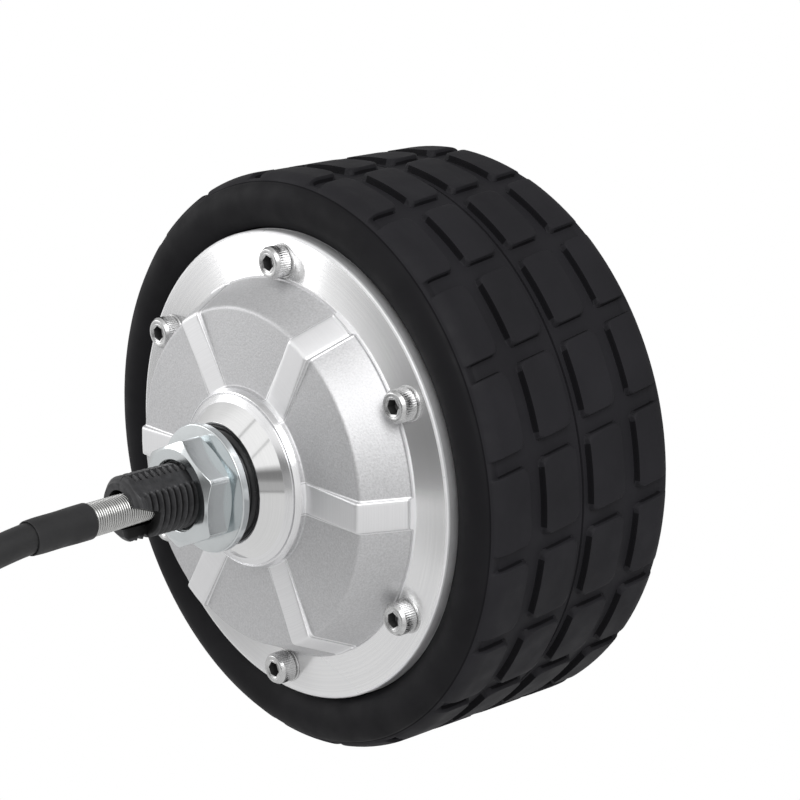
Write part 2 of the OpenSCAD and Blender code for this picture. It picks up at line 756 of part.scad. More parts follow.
// Each phase lead rises from the coils, turns in through the axle's window and runs along its bore
module phase_leads() {
    start_r = coil_in_edge + 3;
    spread = 18;
    color([0.75, 0.60, 0.12]) on_axle() for (i = [-1:1]) {
        x = i * lead_circle_r;
        y = i == 0 ? -lead_circle_r : 0;
        z = lead_z + (i == 0 ? -1 : 1);
        start = [start_r * sin(i * spread), -start_r * cos(i * spread)];
        tube([
            [start[0], start[1], coil_end_z], [start[0], start[1], z], [x, -stator_seat_d / 2 - 1, z],
            [x, y, z], [x, y, lead_end_z]
        ], lead_d / 2, 8);
    }
}

// The sensors' sheathed lead runs beside them
module signal_lead() {
    color([0.20, 0.20, 0.22]) on_axle() translate([0, lead_circle_r, lead_z + 2])
        cylinder(d = lead_d, h = lead_end_z - lead_z - 2, $fn = 24);
}

/* The cable and what is on it */

module spring_guard() {
    color([0.75, 0.75, 0.74]) on_cable_line()
        ring(cable_r + run_gap, guard_d / 2, guard_from, guard_from + guard_len);
}

module cable_sleeve() {
    guard_end = guard_from + guard_len;
    guard_r = guard_d / 2 + press_gap;
    end = sleeve_from + sleeve_len;
    color([0.15, 0.15, 0.16]) on_cable_line() rotate_extrude() polygon([
        [guard_r, sleeve_from], [sleeve_d / 2 - 0.2, sleeve_from], [sleeve_d / 2, sleeve_from + 0.3],
        [sleeve_d / 2, end - 1], [sleeve_d / 2 - 0.3, end], [cable_r + run_gap, end],
        [cable_r + run_gap, guard_end + 0.5], [guard_r, guard_end + press_gap]
    ]);
}

function unit(v) = v / norm(v);

// Rings of points across the curve, each square to it
module tube(points, r, sides = 10) {
    n = len(points);
    rings = [for (i = [0:n - 1])
        let (
            along = unit(points[min(i + 1, n - 1)] - points[max(i - 1, 0)]),
            side = unit(cross(along, [1, 0, 0])),
            up = cross(side, along)
        )
        for (k = [0:sides - 1]) points[i] + r * (cos(k * 360 / sides) * side + sin(k * 360 / sides) * up)];
    walls = [for (i = [0:n - 2]) for (k = [0:sides - 1])
        [i * sides + k, (i + 1) * sides + k, (i + 1) * sides + (k + 1) % sides, i * sides + (k + 1) % sides]];
    first = [for (k = [0:sides - 1]) k];
    last = [for (k = [sides - 1:-1:0]) (n - 1) * sides + k];
    polyhedron(points = rings, faces = concat(walls, [first, last]), convexity = 8);
}

module cable() {
    color([0.11, 0.11, 0.12]) tube(CABLE_ROUTE, cable_r);
}

module cable_coil() {
    inner = coil_in_r - cable_r;
    outer = coil_end_r + cable_r;
    round_by = cable_r * 0.6;
    color([0.11, 0.11, 0.12]) translate([coil_pos[0], coil_pos[1], coil_z]) rotate_extrude() polygon([
        [inner, round_by - cable_r], [inner + round_by, -cable_r], [outer - round_by, -cable_r],
        [outer, round_by - cable_r], [outer, cable_r - round_by], [outer - round_by, cable_r],
        [inner + round_by, cable_r], [inner, cable_r - round_by]
    ]);
}

// The straight end of the cable, from the coil's last half turn to the plug
module cable_tail() {
    color([0.11, 0.11, 0.12]) translate([tail_x, coil_pos[1], coil_z]) rotate([-90, 0, 0])
        cylinder(r = cable_r, h = tail_len);
}

module coil_ties() {
    inner = coil_in_r - cable_r - press_gap;
    outer = coil_end_r + cable_r + press_gap;
    color([0.08, 0.08, 0.09]) for (turn = [-150, -30])
        translate([coil_pos[0], coil_pos[1], coil_z]) rotate([0, 0, turn]) difference() {
            translate([inner - tie_t, -tie_w / 2, -cable_r - tie_t])
                cube([outer - inner + 2 * tie_t, tie_w, cable_d + 2 * tie_t]);
            translate([inner, -tie_w, -cable_r - press_gap])
                cube([outer - inner, 2 * tie_w, cable_d + 2 * press_gap]);
        }
}

module plug_boot() {
    back = cable_d + 1.5;
    steps = 3;
    color([0.10, 0.10, 0.11]) translate([tail_x, boot_y, coil_z]) for (i = [0:steps]) {
        w = back + (plug_w - 3 - back) * i / steps;
        translate([-w / 2, i * boot_len / (steps + 1), -plug_h / 2]) cube([w, boot_len / (steps + 1), plug_h]);
    }
}

module plug_body() {
    nose = plug_len * 0.3;
    hole_d = 1.6;
    color([0.16, 0.16, 0.18]) translate([tail_x, plug_y, coil_z]) difference() {
        union() {
            translate([-plug_w / 2, 0, -plug_h / 2]) cube([plug_w, plug_len - nose, plug_h]);
            translate([-plug_w / 2 + 1, 0, -plug_h / 2 + 0.8]) cube([plug_w - 2, plug_len, plug_h - 1.6]);
        }
        for (x = [-1.5:1:1.5]) for (z = [-1, 1])
            translate([x * plug_w / 5, plug_len - nose - 2, z * plug_h / 5])
                rotate([-90, 0, 0]) cylinder(d = hole_d, h = nose + 2 + cut, $fn = 24);
    }
}

module plug_contacts() {
    nose = plug_len * 0.3;
    contact_d = 1.3;
    color([0.80, 0.65, 0.30]) translate([tail_x, plug_y, coil_z])
        for (x = [-1.5:1:1.5]) for (z = [-1, 1])
            translate([x * plug_w / 5, plug_len - nose - 2, z * plug_h / 5])
                rotate([-90, 0, 0]) cylinder(d = contact_d, h = nose, $fn = 24);
}

tyre();
rim();
front_cover();
cover_screws();
cover_screw_washers();
cover_o_ring();
rear_cap();
shaft_seal();
rotor_ring();
magnets();
front_bearing_outer();
front_bearing_shields();
front_bearing_balls();
front_bearing_cage();
front_bearing_inner();
rear_bearing_outer();
rear_bearing_shields();
rear_bearing_balls();
rear_bearing_cage();
rear_bearing_inner();
axle();
axle_nut();
axle_washer();
axle_spacer();
stator_key();
stator_hub();
stator_core();
stator_insulators();
stator_windings();
hall_board();
hall_sensors();
phase_leads();
signal_lead();
spring_guard();
cable_sleeve();
cable();
cable_coil();
cable_tail();
coil_ties();
plug_boot();
plug_body();
plug_contacts();
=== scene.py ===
"""The looks of a robot drive wheel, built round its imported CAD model."""

import json
import math

import bmesh
import bpy
import numpy as np
from mathutils import Matrix, Vector


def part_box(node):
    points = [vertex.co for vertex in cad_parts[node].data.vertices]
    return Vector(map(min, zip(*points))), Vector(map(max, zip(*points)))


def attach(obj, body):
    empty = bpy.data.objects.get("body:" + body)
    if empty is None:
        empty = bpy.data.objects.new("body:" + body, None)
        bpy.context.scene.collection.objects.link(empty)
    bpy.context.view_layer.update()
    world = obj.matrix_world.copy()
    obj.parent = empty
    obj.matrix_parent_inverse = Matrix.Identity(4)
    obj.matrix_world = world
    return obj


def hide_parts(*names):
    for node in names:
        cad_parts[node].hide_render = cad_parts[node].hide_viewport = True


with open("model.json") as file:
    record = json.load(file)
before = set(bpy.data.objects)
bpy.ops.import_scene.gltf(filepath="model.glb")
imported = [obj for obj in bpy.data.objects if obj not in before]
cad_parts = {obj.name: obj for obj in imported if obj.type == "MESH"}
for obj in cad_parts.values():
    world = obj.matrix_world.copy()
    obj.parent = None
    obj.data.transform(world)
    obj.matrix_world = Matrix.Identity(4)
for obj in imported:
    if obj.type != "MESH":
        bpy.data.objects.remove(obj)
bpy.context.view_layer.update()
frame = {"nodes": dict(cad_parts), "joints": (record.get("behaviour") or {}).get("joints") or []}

# Lengths are in millimetres where nothing else is said, and turns in degrees from the top towards +X.
# A round piece is worked out in the piece frame: z = 0 at the tyre's mid-plane, z up towards the nut.
# The row frame is the CAD model's own, with y from the nut towards the tyre's far side.
MM = 0.001
MID_Y = frame["joints"][0]["pos_m"][1] / MM


def radius(node):
    """The largest radius of a CAD node that is centred on the axle."""
    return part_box(node)[1].z / MM


def near(node):
    """The z of a CAD node's end on the nut's side."""
    return MID_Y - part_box(node)[0].y / MM


def far(node):
    """The z of a CAD node's other end."""
    return MID_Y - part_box(node)[1].y / MM


# Sizes that the CAD model gives
TYRE_R = radius("tyre")
TYRE_HALF_W = near("tyre")
RIM_R = radius("rim")
SEAT_Z = near("rim")
COVER_R = radius("front_cover")
BOSS_Z = near("front_cover")
SCREW_TOP_Z = near("cover_screws")
WASHER_R = radius("axle_washer")
WASHER_Z = far("axle_washer")
NUT_Z = near("axle_washer")
NUT_TOP_Z = near("axle_nut")
TIP_Z = near("axle")
FLOOR_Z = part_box("tyre")[0].z / MM

# The bodies that the pieces ride on
WHEEL = "wheel"
AXLE = "axle_assembly"

# The tyre's tread
TREAD_DEPTH = 1.4
BLOCK_W = 9.4
CENTRE_GROOVE_W = 4.1
SIDE_GROOVE_W = 4.3
CROSS_GROOVE_W = 3.8
BLOCKS_N = 20
GROOVE_SLANT = 8.6
GROOVE_TURN = 2.85
SHOULDER_R = 6
SHOULDER_FADE = (1.6, 4.3)
SHOULDER_CREASE = 4.5
CREASE_DEPTH = 0.3
CREASE_W = 0.45
PARTING_Z = 0.37
PARTING_DEPTH = 0.6
PARTING_HALF_W = 0.15
BEAD_GAP_FROM = 0.945
BEAD_GAP_DEPTH = 0.6
BEAD_Z = 24.75
BLOCK_CORNER = 1.5
BLOCK_PITCH = 2 * math.pi * TYRE_R / BLOCKS_N

# The rim and the cover
CAVITY_R = 41.8
FLANGE_Z = SEAT_Z + 3
DOME_STEP = 0.8
FOOT_LINE_Z = FLANGE_Z + 0.45
DOME_Z = 38.15
RIDGE_R = 36.8
BOSS_R = 19.6
BAND_R = 16.925
MOUTH_R = 13.3
SEAL_R = 12.6
COVER_T = 3.5
SPIGOT_H = 2
SEAL_POCKET_H = 5.05
FRONT_SEAT_R = 16.02
FRONT_SEAT_Z = (BOSS_Z - 17.4, BOSS_Z - 8.2)
FRONT_STOP_R = 11
RIB_W = 6.5
RIB_H = 1.0
RIBS_N = 6
REAR_SEAT_R = 14.02
REAR_BORE_R = 11.52
REAR_WEB_Z = -23.5
REAR_BOSS_R = 18
REAR_BOSS_Z = -27
REAR_RIB_W = 6
REAR_RIB_H = 1.75
REAR_CAP_R = 11.5

# The screws
SCREWS_N = 6
SCREW_CIRCLE_R = 91.3 / 2
SCREW_HEAD_R = 3.5
SCREW_HEAD_H = 4
SCREW_KEY_W = 3
SCREW_SHANK_R = 2
SCREW_SHANK_LEN = 9.8
SCREW_SPIN = 17
SCREW_SPIN_STEP = 23
SCREW_WASHER_T = 0.4

# The axle
THREAD_R = 7
THREAD_PITCH = 1.5
THREAD_DEPTH = 0.9
TIP_CHAMFER = 1.3
FLAT_DEPTH = 0.52
FLAT_TURN = 36
SLOT_TURN = 74.5
SLOT_SLOPE = 20
SLOT_LEN = 5.7
SLOT_CROSSING = 0.74
SLOT_OVERLAP = 0.15
BORE_R = 3.75
BORE_MOUTH_R = 4.2
SPACER_R = 9.8
NUT_W = 21
NUT_TURN = 5

# The cable, its guard and its sleeve
CABLE_D = 6.5
CABLE_LEAN = 5.5
CABLE_TURN = 85
LEAN_Z = TIP_Z - 9
GUARD_D = 7.1
GUARD_FROM = 0.5
GUARD_LEN = 20
SLEEVE_D = 7.7
SLEEVE_LEN = 15
TIE_T = 0.5
COIL_Z = FLOOR_Z + TIE_T + CABLE_D / 2

# The cable's way from inside the axle to the coil, the same points as in the CAD model
CABLE_ROUTE = [
    [-0.02, -5, 0], [0.76, -13.16, 0.07], [1.62, -22.12, 0.14], [2.39, -30.08, 0.21], [3.15, -38.05, 0.28],
    [4.2, -48, -0.72], [4.8, -56, -2.51], [5, -64, -6.99], [5, -71, -13.98], [5, -76, -22.53],
    [5, -80, -31.49], [5, -85, -40.99], [5, -92, -48.52], [5, -101, -54.49], [5, -112, -59.51],
]
COIL_IN_R = 26.5
COIL_PITCH = 6.6
COIL_TURNS = 2.5
COIL_AT = (5 - COIL_IN_R, -112)
TAIL_LEN = 26
TIE_TURNS = (-150, -30)
BOOT_LEN = 14
BOOT_RIBS_N = 5
PLUG_HALF_W = 7.5
PLUG_HALF_H = 3.75

# The camera, worked out from the circles of the tyre, cover and boss in the photograph
CAMERA_AT = (405.96, -298.28, 165.02)
CAMERA_AZIMUTH = 48.37
CAMERA_ELEVATION = 16.05
CAMERA_LENS = 114.1
CAMERA_SENSOR_W = 36

# Edges sharper than this many degrees stay sharp
SHARP = 32
# Points closer than this are welded, in metres
WELD = 2e-7


# Meshes

def to_row(points):
    """Points of the piece frame as points of the row frame, in metres."""
    x, y, z = np.moveaxis(np.asarray(points, float), -1, 0)
    return np.stack([x, MID_Y - z, y], -1) * MM


def polar(r, turn, z):
    """Points by radius, turn and height, each a number or an array."""
    angle = np.radians(turn)
    return np.stack(np.broadcast_arrays(r * np.sin(angle), r * np.cos(angle), z * np.ones_like(angle)), -1)


def all_round(columns):
    """The turns of evenly spaced columns."""
    return np.arange(columns) * 360 / columns


def grid_faces(rows, columns, close_rows=False, first=0):
    """Quads between the rows of points that close on themselves; the last row may join the first."""
    i = np.arange(rows if close_rows else rows - 1)[:, None]
    j = np.arange(columns)[None, :]
    here, below, right = i * columns, (i + 1) % rows * columns, (j + 1) % columns
    quads = np.stack([here + j, here + right, below + right, below + j], -1)
    return (quads.reshape(-1, 4) + first).tolist()


def tube_faces(rows, columns):
    """The faces of a tube of rings of points, closed at both ends."""
    last = (rows - 1) * columns
    return grid_faces(rows, columns) + [list(range(columns)), list(range(last, last + columns))]


def new_object(name, data):
    """A new object in the scene."""
    obj = bpy.data.objects.new(name, data)
    bpy.context.scene.collection.objects.link(obj)
    return obj


def face_outward(mesh, weld=0.0):
    """Turns all faces outward, after joining points closer than weld metres."""
    work = bmesh.new()
    work.from_mesh(mesh)
    if weld:
        bmesh.ops.remove_doubles(work, verts=work.verts, dist=weld)
        bmesh.ops.dissolve_degenerate(work, edges=work.edges, dist=weld / 2)
    bmesh.ops.recalc_face_normals(work, faces=work.faces)
    work.to_mesh(mesh)
    work.free()


def shade_smooth(mesh, sharp):
    """Smooth shading, but for edges sharper than that many degrees."""
    mesh.polygons.foreach_set("use_smooth", [True] * len(mesh.polygons))
    mesh.set_sharp_from_angle(angle=math.radians(sharp))


def finish_piece(obj, body, cad, sharp=SHARP):
    """Shades a new object, hangs it on its body's empty and hides the CAD parts that it stands for."""
    if obj.type == "MESH":
        shade_smooth(obj.data, sharp)
    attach(obj, body)
    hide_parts(*cad)
    return obj


def make_piece(name, points, faces, body, looks, cad, face_looks=None, sharp=SHARP):
    """A finished piece from points in the row frame, in metres: welded, outward-facing and shaded."""
    mesh = bpy.data.meshes.new(name)
    mesh.from_pydata(np.asarray(points, float).reshape(-1, 3).tolist(), [], faces)
    for look in looks:
        mesh.materials.append(look)
    if face_looks is not None:
        mesh.polygons.foreach_set("material_index", np.asarray(face_looks, np.int32))
    face_outward(mesh, WELD)
    return finish_piece(new_object(name, mesh), body, cad, sharp)


def rounded(corners, steps=3):
    """A closed outline from corners (r, z, reach): a curve begins that far from the corner on both sides."""
    most = 0.48
    out = []
    for i, (r, z, reach) in enumerate(corners):
        here = np.array([r, z], float)
        if not reach:
            out.append(here)
            continue
        before = np.array(corners[i - 1][:2], float) - here
        after = np.array(corners[(i + 1) % len(corners)][:2], float) - here
        before_len, after_len = np.hypot(*before), np.hypot(*after)
        reach = min(reach, most * before_len, most * after_len)
        start, end = here + before / before_len * reach, here + after / after_len * reach
        for t in np.linspace(0, 1, steps + 1):
            out.append((1 - t) ** 2 * start + 2 * t * (1 - t) * here + t * t * end)
    return np.array(out)


def lathe(name, corners, body, looks, cad, columns=192, steps=3):
    """A ring or disc turned round the axle from a closed outline."""
    line = rounded(corners, steps)
    points = polar(line[:, :1], all_round(columns), line[:, 1:])
    return make_piece(name, to_row(points), grid_faces(len(line), columns, True), body, looks, cad)


def smooth_step(t):
    t = np.clip(t, 0, 1)
    return t * t * (3 - 2 * t)


# Materials

NOISE_LOW, NOISE_HIGH = 0.3, 0.7


def fill(node, inputs):
    """Gives a node's inputs their values: numbers, colours or other nodes' outputs."""
    for key, value in inputs.items():
        if isinstance(value, bpy.types.NodeSocket):
            node.id_data.links.new(value, node.inputs[key])
        else:
            node.inputs[key].default_value = value


def add_node(tree, kind, inputs=None, **settings):
    made = tree.nodes.new(kind)
    for key, value in settings.items():
        setattr(made, key, value)
    fill(made, inputs or {})
    return made


def colour_ramp(tree, value, stops):
    """The colour at the value, between stops (place from 0 to 1, red, green, blue)."""
    ramp = add_node(tree, "ShaderNodeValToRGB", {0: value})
    elements = ramp.color_ramp.elements
    while len(elements) < len(stops):
        elements.new(0.5)
    for element, (place, *colour) in zip(elements, stops):
        element.position = place
        element.color = (*colour, 1)
    return ramp.outputs[0]


class Look:
    """A procedural material under construction. Noise runs from about NOISE_LOW to NOISE_HIGH."""

    def __init__(self, name, colour, roughness, metallic=0.0, **sockets):
        self.material = bpy.data.materials.new(name)
        self.material.use_nodes = True
        self.tree = self.material.node_tree
        self.shader = self.tree.nodes["Principled BSDF"]
        self.colour = colour
        self.normal = None
        self.give(Base_Color=(*colour, 1), Roughness=roughness, Metallic=metallic, **sockets)
        self.place = self.node("ShaderNodeTexCoord").outputs["Object"]

    def give(self, **sockets):
        fill(self.shader, {name.replace("_", " "): value for name, value in sockets.items()})

    def node(self, kind, inputs=None, **settings):
        return add_node(self.tree, kind, inputs, **settings)

    def math(self, operation, a, b=0.0):
        return self.node("ShaderNodeMath", {0: a, 1: b}, operation=operation).outputs[0]

    def vector(self, operation, inputs):
        return self.node("ShaderNodeVectorMath", inputs, operation=operation).outputs[0]

    def noise(self, scale, detail=3.0, place=None, rough=0.5):
        """Noise with features about 1/scale metres across."""
        inputs = {"Vector": place or self.place, "Scale": scale, "Detail": detail, "Roughness": rough}
        return self.node("ShaderNodeTexNoise", inputs).outputs["Fac"]

    def waves(self, direction, **inputs):
        inputs = {"Vector": self.place, **inputs}
        return self.node("ShaderNodeTexWave", inputs, bands_direction=direction).outputs["Fac"]

    def weigh(self, a, share_a, b, share_b):
        """The sum of two values, each times its share."""
        return self.math("ADD", self.math("MULTIPLY", a, share_a), self.math("MULTIPLY", b, share_b))

    def spread(self, value, low, high, from_low=NOISE_LOW, from_high=NOISE_HIGH):
        inputs = {"Value": value, "From Min": from_low, "From Max": from_high, "To Min": low, "To Max": high}
        return self.node("ShaderNodeMapRange", inputs).outputs[0]

    def axes(self):
        """The place's x, y and z."""
        return self.node("ShaderNodeSeparateXYZ", {0: self.place}).outputs

    def radial(self):
        """Distance from the wheel's axis."""
        x, _, z = self.axes()
        return self.math("SQRT", self.math("ADD", self.math("MULTIPLY", x, x), self.math("MULTIPLY", z, z)))

    def rings(self, scale):
        """Fine concentric marks round the axle, as a cutting tool leaves them."""
        place = self.node("ShaderNodeCombineXYZ", {0: self.radial(), 1: self.axes()[1]}).outputs[0]
        return self.noise(scale, 2.0, place=place)

    def tint(self, value, low, high):
        """The base colour times low to high, as the value goes from NOISE_LOW to NOISE_HIGH."""
        dark, pale = ([min(1, c * share) for c in self.colour] for share in (low, high))
        self.give(Base_Color=colour_ramp(self.tree, value, [(NOISE_LOW, *dark), (NOISE_HIGH, *pale)]))

    def roughen(self, value, low, high):
        self.give(Roughness=self.spread(value, low, high))

    def bump(self, value, height, strength=1.0):
        """Relief of that height in millimetres; a second call adds to the first."""
        inputs = {"Height": value, "Distance": height * MM, "Strength": strength}
        if self.normal:
            inputs["Normal"] = self.normal
        self.normal = self.node("ShaderNodeBump", inputs).outputs[0]
        self.give(Normal=self.normal)

    def lean(self, amount):
        """Leans the surface's normal away from the axis, as the flanks of turning marks do."""
        x, _, z = self.axes()
        outward = self.node("ShaderNodeCombineXYZ", {0: x, 2: z}).outputs[0]
        outward = self.node("ShaderNodeVectorTransform", {0: outward}, vector_type="VECTOR",
                            convert_from="OBJECT", convert_to="WORLD").outputs[0]
        outward = self.vector("SCALE", {0: self.vector("NORMALIZE", {0: outward}), "Scale": amount})
        straight = self.node("ShaderNodeNewGeometry").outputs["Normal"]
        self.normal = self.vector("NORMALIZE", {0: self.vector("ADD", {0: straight, 1: outward})})

    def turned(self, amount):
        """Stretches highlights across the turning marks."""
        tangent = self.node("ShaderNodeTangent", direction_type="RADIAL", axis="Y").outputs[0]
        self.give(Anisotropic=amount, Anisotropic_Rotation=0.25, Tangent=tangent)


def simple_look(name, colour, roughness, metallic=0.0, scale=400.0, shade=0.12, grain=6000.0, height=0.01):
    """A plain moulded, ground or coated surface: slow shade changes and a fine grain."""
    look = Look(name, colour, roughness, metallic)
    look.tint(look.noise(scale), 1 - shade, 1 + shade)
    look.roughen(look.noise(scale * 4), roughness * 0.85, min(1, roughness * 1.15))
    look.bump(look.noise(grain, 2.0), height)
    return look.material


def tyre_rubber(name, shade, roughness, specular):
    look = Look(name, (shade, shade * 0.96, shade * 1.16), roughness, Specular_IOR_Level=specular)
    look.tint(look.noise(55, 4), 0.85, 1.18)
    look.roughen(look.noise(180, 5), roughness - 0.08, roughness + 0.08)
    look.bump(look.noise(2600, 3), 0.02, 0.6)
    look.bump(look.noise(150, 3), 0.06, 0.35)
    return look.material


def cast_aluminium():
    look = Look("cast_aluminium", (0.66, 0.66, 0.67), 0.50, 0.85)
    grain = look.noise(2300, 2, rough=0.65)
    look.tint(look.weigh(grain, 0.75, look.noise(30), 0.15), 0.82, 1.12)
    look.roughen(look.noise(2300), 0.48, 0.56)
    look.bump(grain, 0.07, 0.8)
    return look.material


def turned_aluminium(name="turned_aluminium", colour=(0.86, 0.86, 0.87), roughness=0.27, turned=0.6,
                     height=0.006, lean=0.0):
    look = Look(name, colour, roughness, 1.0)
    if lean:
        look.lean(lean)
    marks = look.rings(5200)
    look.tint(look.weigh(marks, 0.6, look.noise(45), 0.4), 0.93, 1.05)
    look.roughen(look.noise(6, 1), roughness * 0.92, roughness * 1.08)
    look.bump(marks, height, 0.6)
    if turned:
        look.turned(turned)
    return look.material


def zinc_plate():
    look = Look("zinc_plate", (0.71, 0.74, 0.75), 0.18, 1.0)
    look.tint(look.noise(120, 3), 0.97, 1.03)
    look.roughen(look.noise(300, 3), 0.15, 0.22)
    look.bump(look.noise(900, 4), 0.015, 0.5)
    return look.material


def screw_steel():
    look = Look("screw_steel", (0.66, 0.66, 0.66), 0.26, 1.0)
    look.tint(look.noise(900, 4), 0.90, 1.08)
    look.roughen(look.noise(1600, 4), 0.18, 0.38)
    look.bump(look.noise(2600, 3), 0.012, 0.5)
    return look.material


def black_oxide():
    """Blackened steel, paler where rubbed at the thread's crests and at the tip, in patches; below the
    crests, in the thread's roots, the bore and the slot, it is darkened far under the oxide's own colour, a
    painted shade.
    """
    worn_r, worn_tip, edge = 6.15, 1.2, 0.3
    look = Look("black_oxide", (0.035, 0.035, 0.037), 0.42, 0.35, Specular_IOR_Level=0.55)
    raised = look.spread(look.radial(), 0.0, 1.0, worn_r * MM, (worn_r + edge) * MM)
    tip_y = MID_Y - TIP_Z
    tip = look.spread(look.axes()[1], 1.0, 0.0, tip_y * MM, (tip_y + worn_tip) * MM)
    patches = look.spread(look.noise(700, 5), 0.55, 1.0)
    wear_and_shade = look.math("MULTIPLY", look.math("MAXIMUM", raised, tip), patches)
    # Painted shade and wear: under the crests the colour drops to 0.12 of the oxide's, on the rubbed crests
    # and tip it rises to 1.6 of it.
    look.tint(look.spread(wear_and_shade, NOISE_LOW, NOISE_HIGH, 0.0, 1.0), 0.12, 1.6)
    look.roughen(look.noise(1500, 5), 0.30, 0.58)
    look.bump(look.noise(3200, 4), 0.02, 0.7)
    return look.material


def heat_shrink():
    look = Look("heat_shrink", (0.022, 0.022, 0.023), 0.55, Specular_IOR_Level=0.4)
    look.tint(look.noise(120, 4), 0.85, 1.2)
    look.roughen(look.noise(300, 4), 0.46, 0.66)
    look.bump(look.noise(420, 3), 0.05, 0.4)
    look.bump(look.noise(4000, 2), 0.008, 0.6)
    return look.material


def copper_wire():
    """Enamelled wire: fine turns across each coil."""
    look = Look("copper_wire", (0.62, 0.24, 0.09), 0.30, 0.9)
    turns = look.waves("X", Scale=260.0, Distortion=0.6, Detail=1.0)
    look.tint(turns, 0.6, 1.15)
    look.roughen(look.noise(900), 0.22, 0.40)
    look.bump(turns, 0.12, 0.6)
    return look.material


def lamination():
    """Stamped plates: fine lines across the axle."""
    look = Look("lamination", (0.30, 0.30, 0.32), 0.42, 0.9)
    plates = look.waves("Y", Scale=300.0)
    look.tint(plates, 0.75, 1.15)
    look.roughen(look.noise(900), 0.34, 0.52)
    look.bump(plates, 0.03, 0.5)
    return look.material


TYRE = tyre_rubber("tyre_rubber", 0.014, 0.70, 0.22)
# Painted shade: the side walls take the tread's rubber made darker for the shade on the sides; their
# smoother, less shiny finish is real.
WALL_SHADED = tyre_rubber("tyre_wall_shaded", 0.0075, 0.62, 0.15)
# Painted shade: a darker copy of the tyre's rubber, laid on the tread's block walls and thin lines where
# shade falls.
CREASE_SHADE = tyre_rubber("tyre_crease_shade", 0.0065, 0.80, 0.10)
CAST = cast_aluminium()
TURNED = turned_aluminium(colour=(0.90, 0.90, 0.91), roughness=0.24)
FLANGE = turned_aluminium("turned_flange", (0.95, 0.95, 0.96), 0.27, turned=0.9, lean=0.25)
POLISHED = turned_aluminium("polished_aluminium", (0.88, 0.88, 0.88), 0.10, turned=0.0, height=0.003)
MILLED = turned_aluminium("milled_aluminium", (0.90, 0.90, 0.91), 0.46, turned=0.0, height=0.02)
# Painted shade: a darker, less metallic copy of the aluminium, on the flange's side, the upper wall of the
# dome's foot line, the boss's mouth and the rim's lip.
LIP_SHADE = simple_look("lip_aluminium_shade", (0.58, 0.58, 0.59), 0.42, 0.4, scale=120)
# Painted highlight: a pale, less metallic copy of the aluminium, on the flange's chamfer and the lower strip
# of the dome's foot line.
EDGE_HIGHLIGHT = simple_look("edge_aluminium_highlight", (0.86, 0.86, 0.87), 0.32, 0.35, scale=120, shade=0.05)
ZINC = zinc_plate()
SCREW = screw_steel()
# Painted shade: a dark copy of the screws' steel, for the inside of the hexagon sockets.
SOCKET_SHADE = simple_look("socket_steel_shade", (0.09, 0.09, 0.09), 0.42, 0.6)
OXIDE = black_oxide()
SEAL = simple_look("seal_rubber", (0.012, 0.012, 0.013), 0.32)
SLEEVE = heat_shrink()
CABLE = simple_look("cable_jacket", (0.019, 0.019, 0.020), 0.52, scale=150, grain=3500, height=0.015)
SPRING = simple_look("spring_wire", (0.58, 0.58, 0.57), 0.24, 1.0, scale=900, shade=0.08)
PLASTIC = simple_look("black_plastic", (0.022, 0.022, 0.024), 0.50, scale=200, grain=2500, height=0.02)
BEARING = simple_look("bearing_steel", (0.62, 0.62, 0.63), 0.20, 1.0, shade=0.06)

CAD_LOOKS = {
    "cover_o_ring": SEAL, "front_bearing_shields": SEAL, "rear_bearing_shields": SEAL,
    "rotor_ring": simple_look("rotor_steel", (0.36, 0.37, 0.38), 0.36, 1.0),
    "magnets": simple_look("magnet_nickel", (0.58, 0.57, 0.54), 0.22, 1.0, shade=0.07),
    "stator_key": simple_look("key_steel", (0.40, 0.40, 0.42), 0.38, 1.0),
    "stator_hub": turned_aluminium("hub_aluminium", roughness=0.34, turned=0.0),
    "stator_core": lamination(), "stator_windings": copper_wire(),
    "stator_insulators": simple_look("insulator_nylon", (0.72, 0.70, 0.62), 0.48, shade=0.06),
    "hall_board": simple_look("board_mask", (0.020, 0.14, 0.055), 0.32),
    "hall_sensors": PLASTIC,
    "phase_leads": simple_look("lead_yellow", (0.66, 0.46, 0.03), 0.42),
    "signal_lead": simple_look("lead_grey", (0.05, 0.05, 0.055), 0.5),
    "plug_contacts": simple_look("contact_gold", (0.80, 0.58, 0.22), 0.22, 1.0),
}
for kind in ("front", "rear"):
    CAD_LOOKS[f"{kind}_bearing_cage"] = simple_look(f"{kind}_cage_brass", (0.56, 0.42, 0.17), 0.34, 1.0)
    for part in ("outer", "inner", "balls"):
        CAD_LOOKS[f"{kind}_bearing_{part}"] = BEARING
CAD_LOOKS["axle_spacer"] = BEARING


# Camera, light and floor

def add_camera():
    """The photograph's view."""
    data = bpy.data.cameras.new("camera")
    data.lens = CAMERA_LENS
    data.sensor_width = CAMERA_SENSOR_W
    data.clip_start = 0.01
    camera = new_object("camera", data)
    azimuth, elevation = math.radians(CAMERA_AZIMUTH), math.radians(CAMERA_ELEVATION)
    level = math.cos(elevation)
    back = Vector((math.sin(azimuth) * level, -math.cos(azimuth) * level, math.sin(elevation)))
    right = Vector((math.cos(azimuth), math.sin(azimuth), 0))
    turn = Matrix((right, back.cross(right), back)).transposed().to_4x4()
    camera.matrix_world = Matrix.Translation(Vector(CAMERA_AT) * MM) @ turn
    bpy.context.scene.camera = camera


def add_lamp(name, place, size, power, aim=(0, 0.03, 0)):
    """A round soft lamp; its place, size and aim are in metres."""
    data = bpy.data.lights.new(name, "AREA")
    data.shape = "DISK"
    data.size = size
    data.energy = power
    lamp = new_object(name, data)
    lamp.location = place
    lamp.rotation_euler = (Vector(aim) - Vector(place)).to_track_quat("-Z", "Y").to_euler()


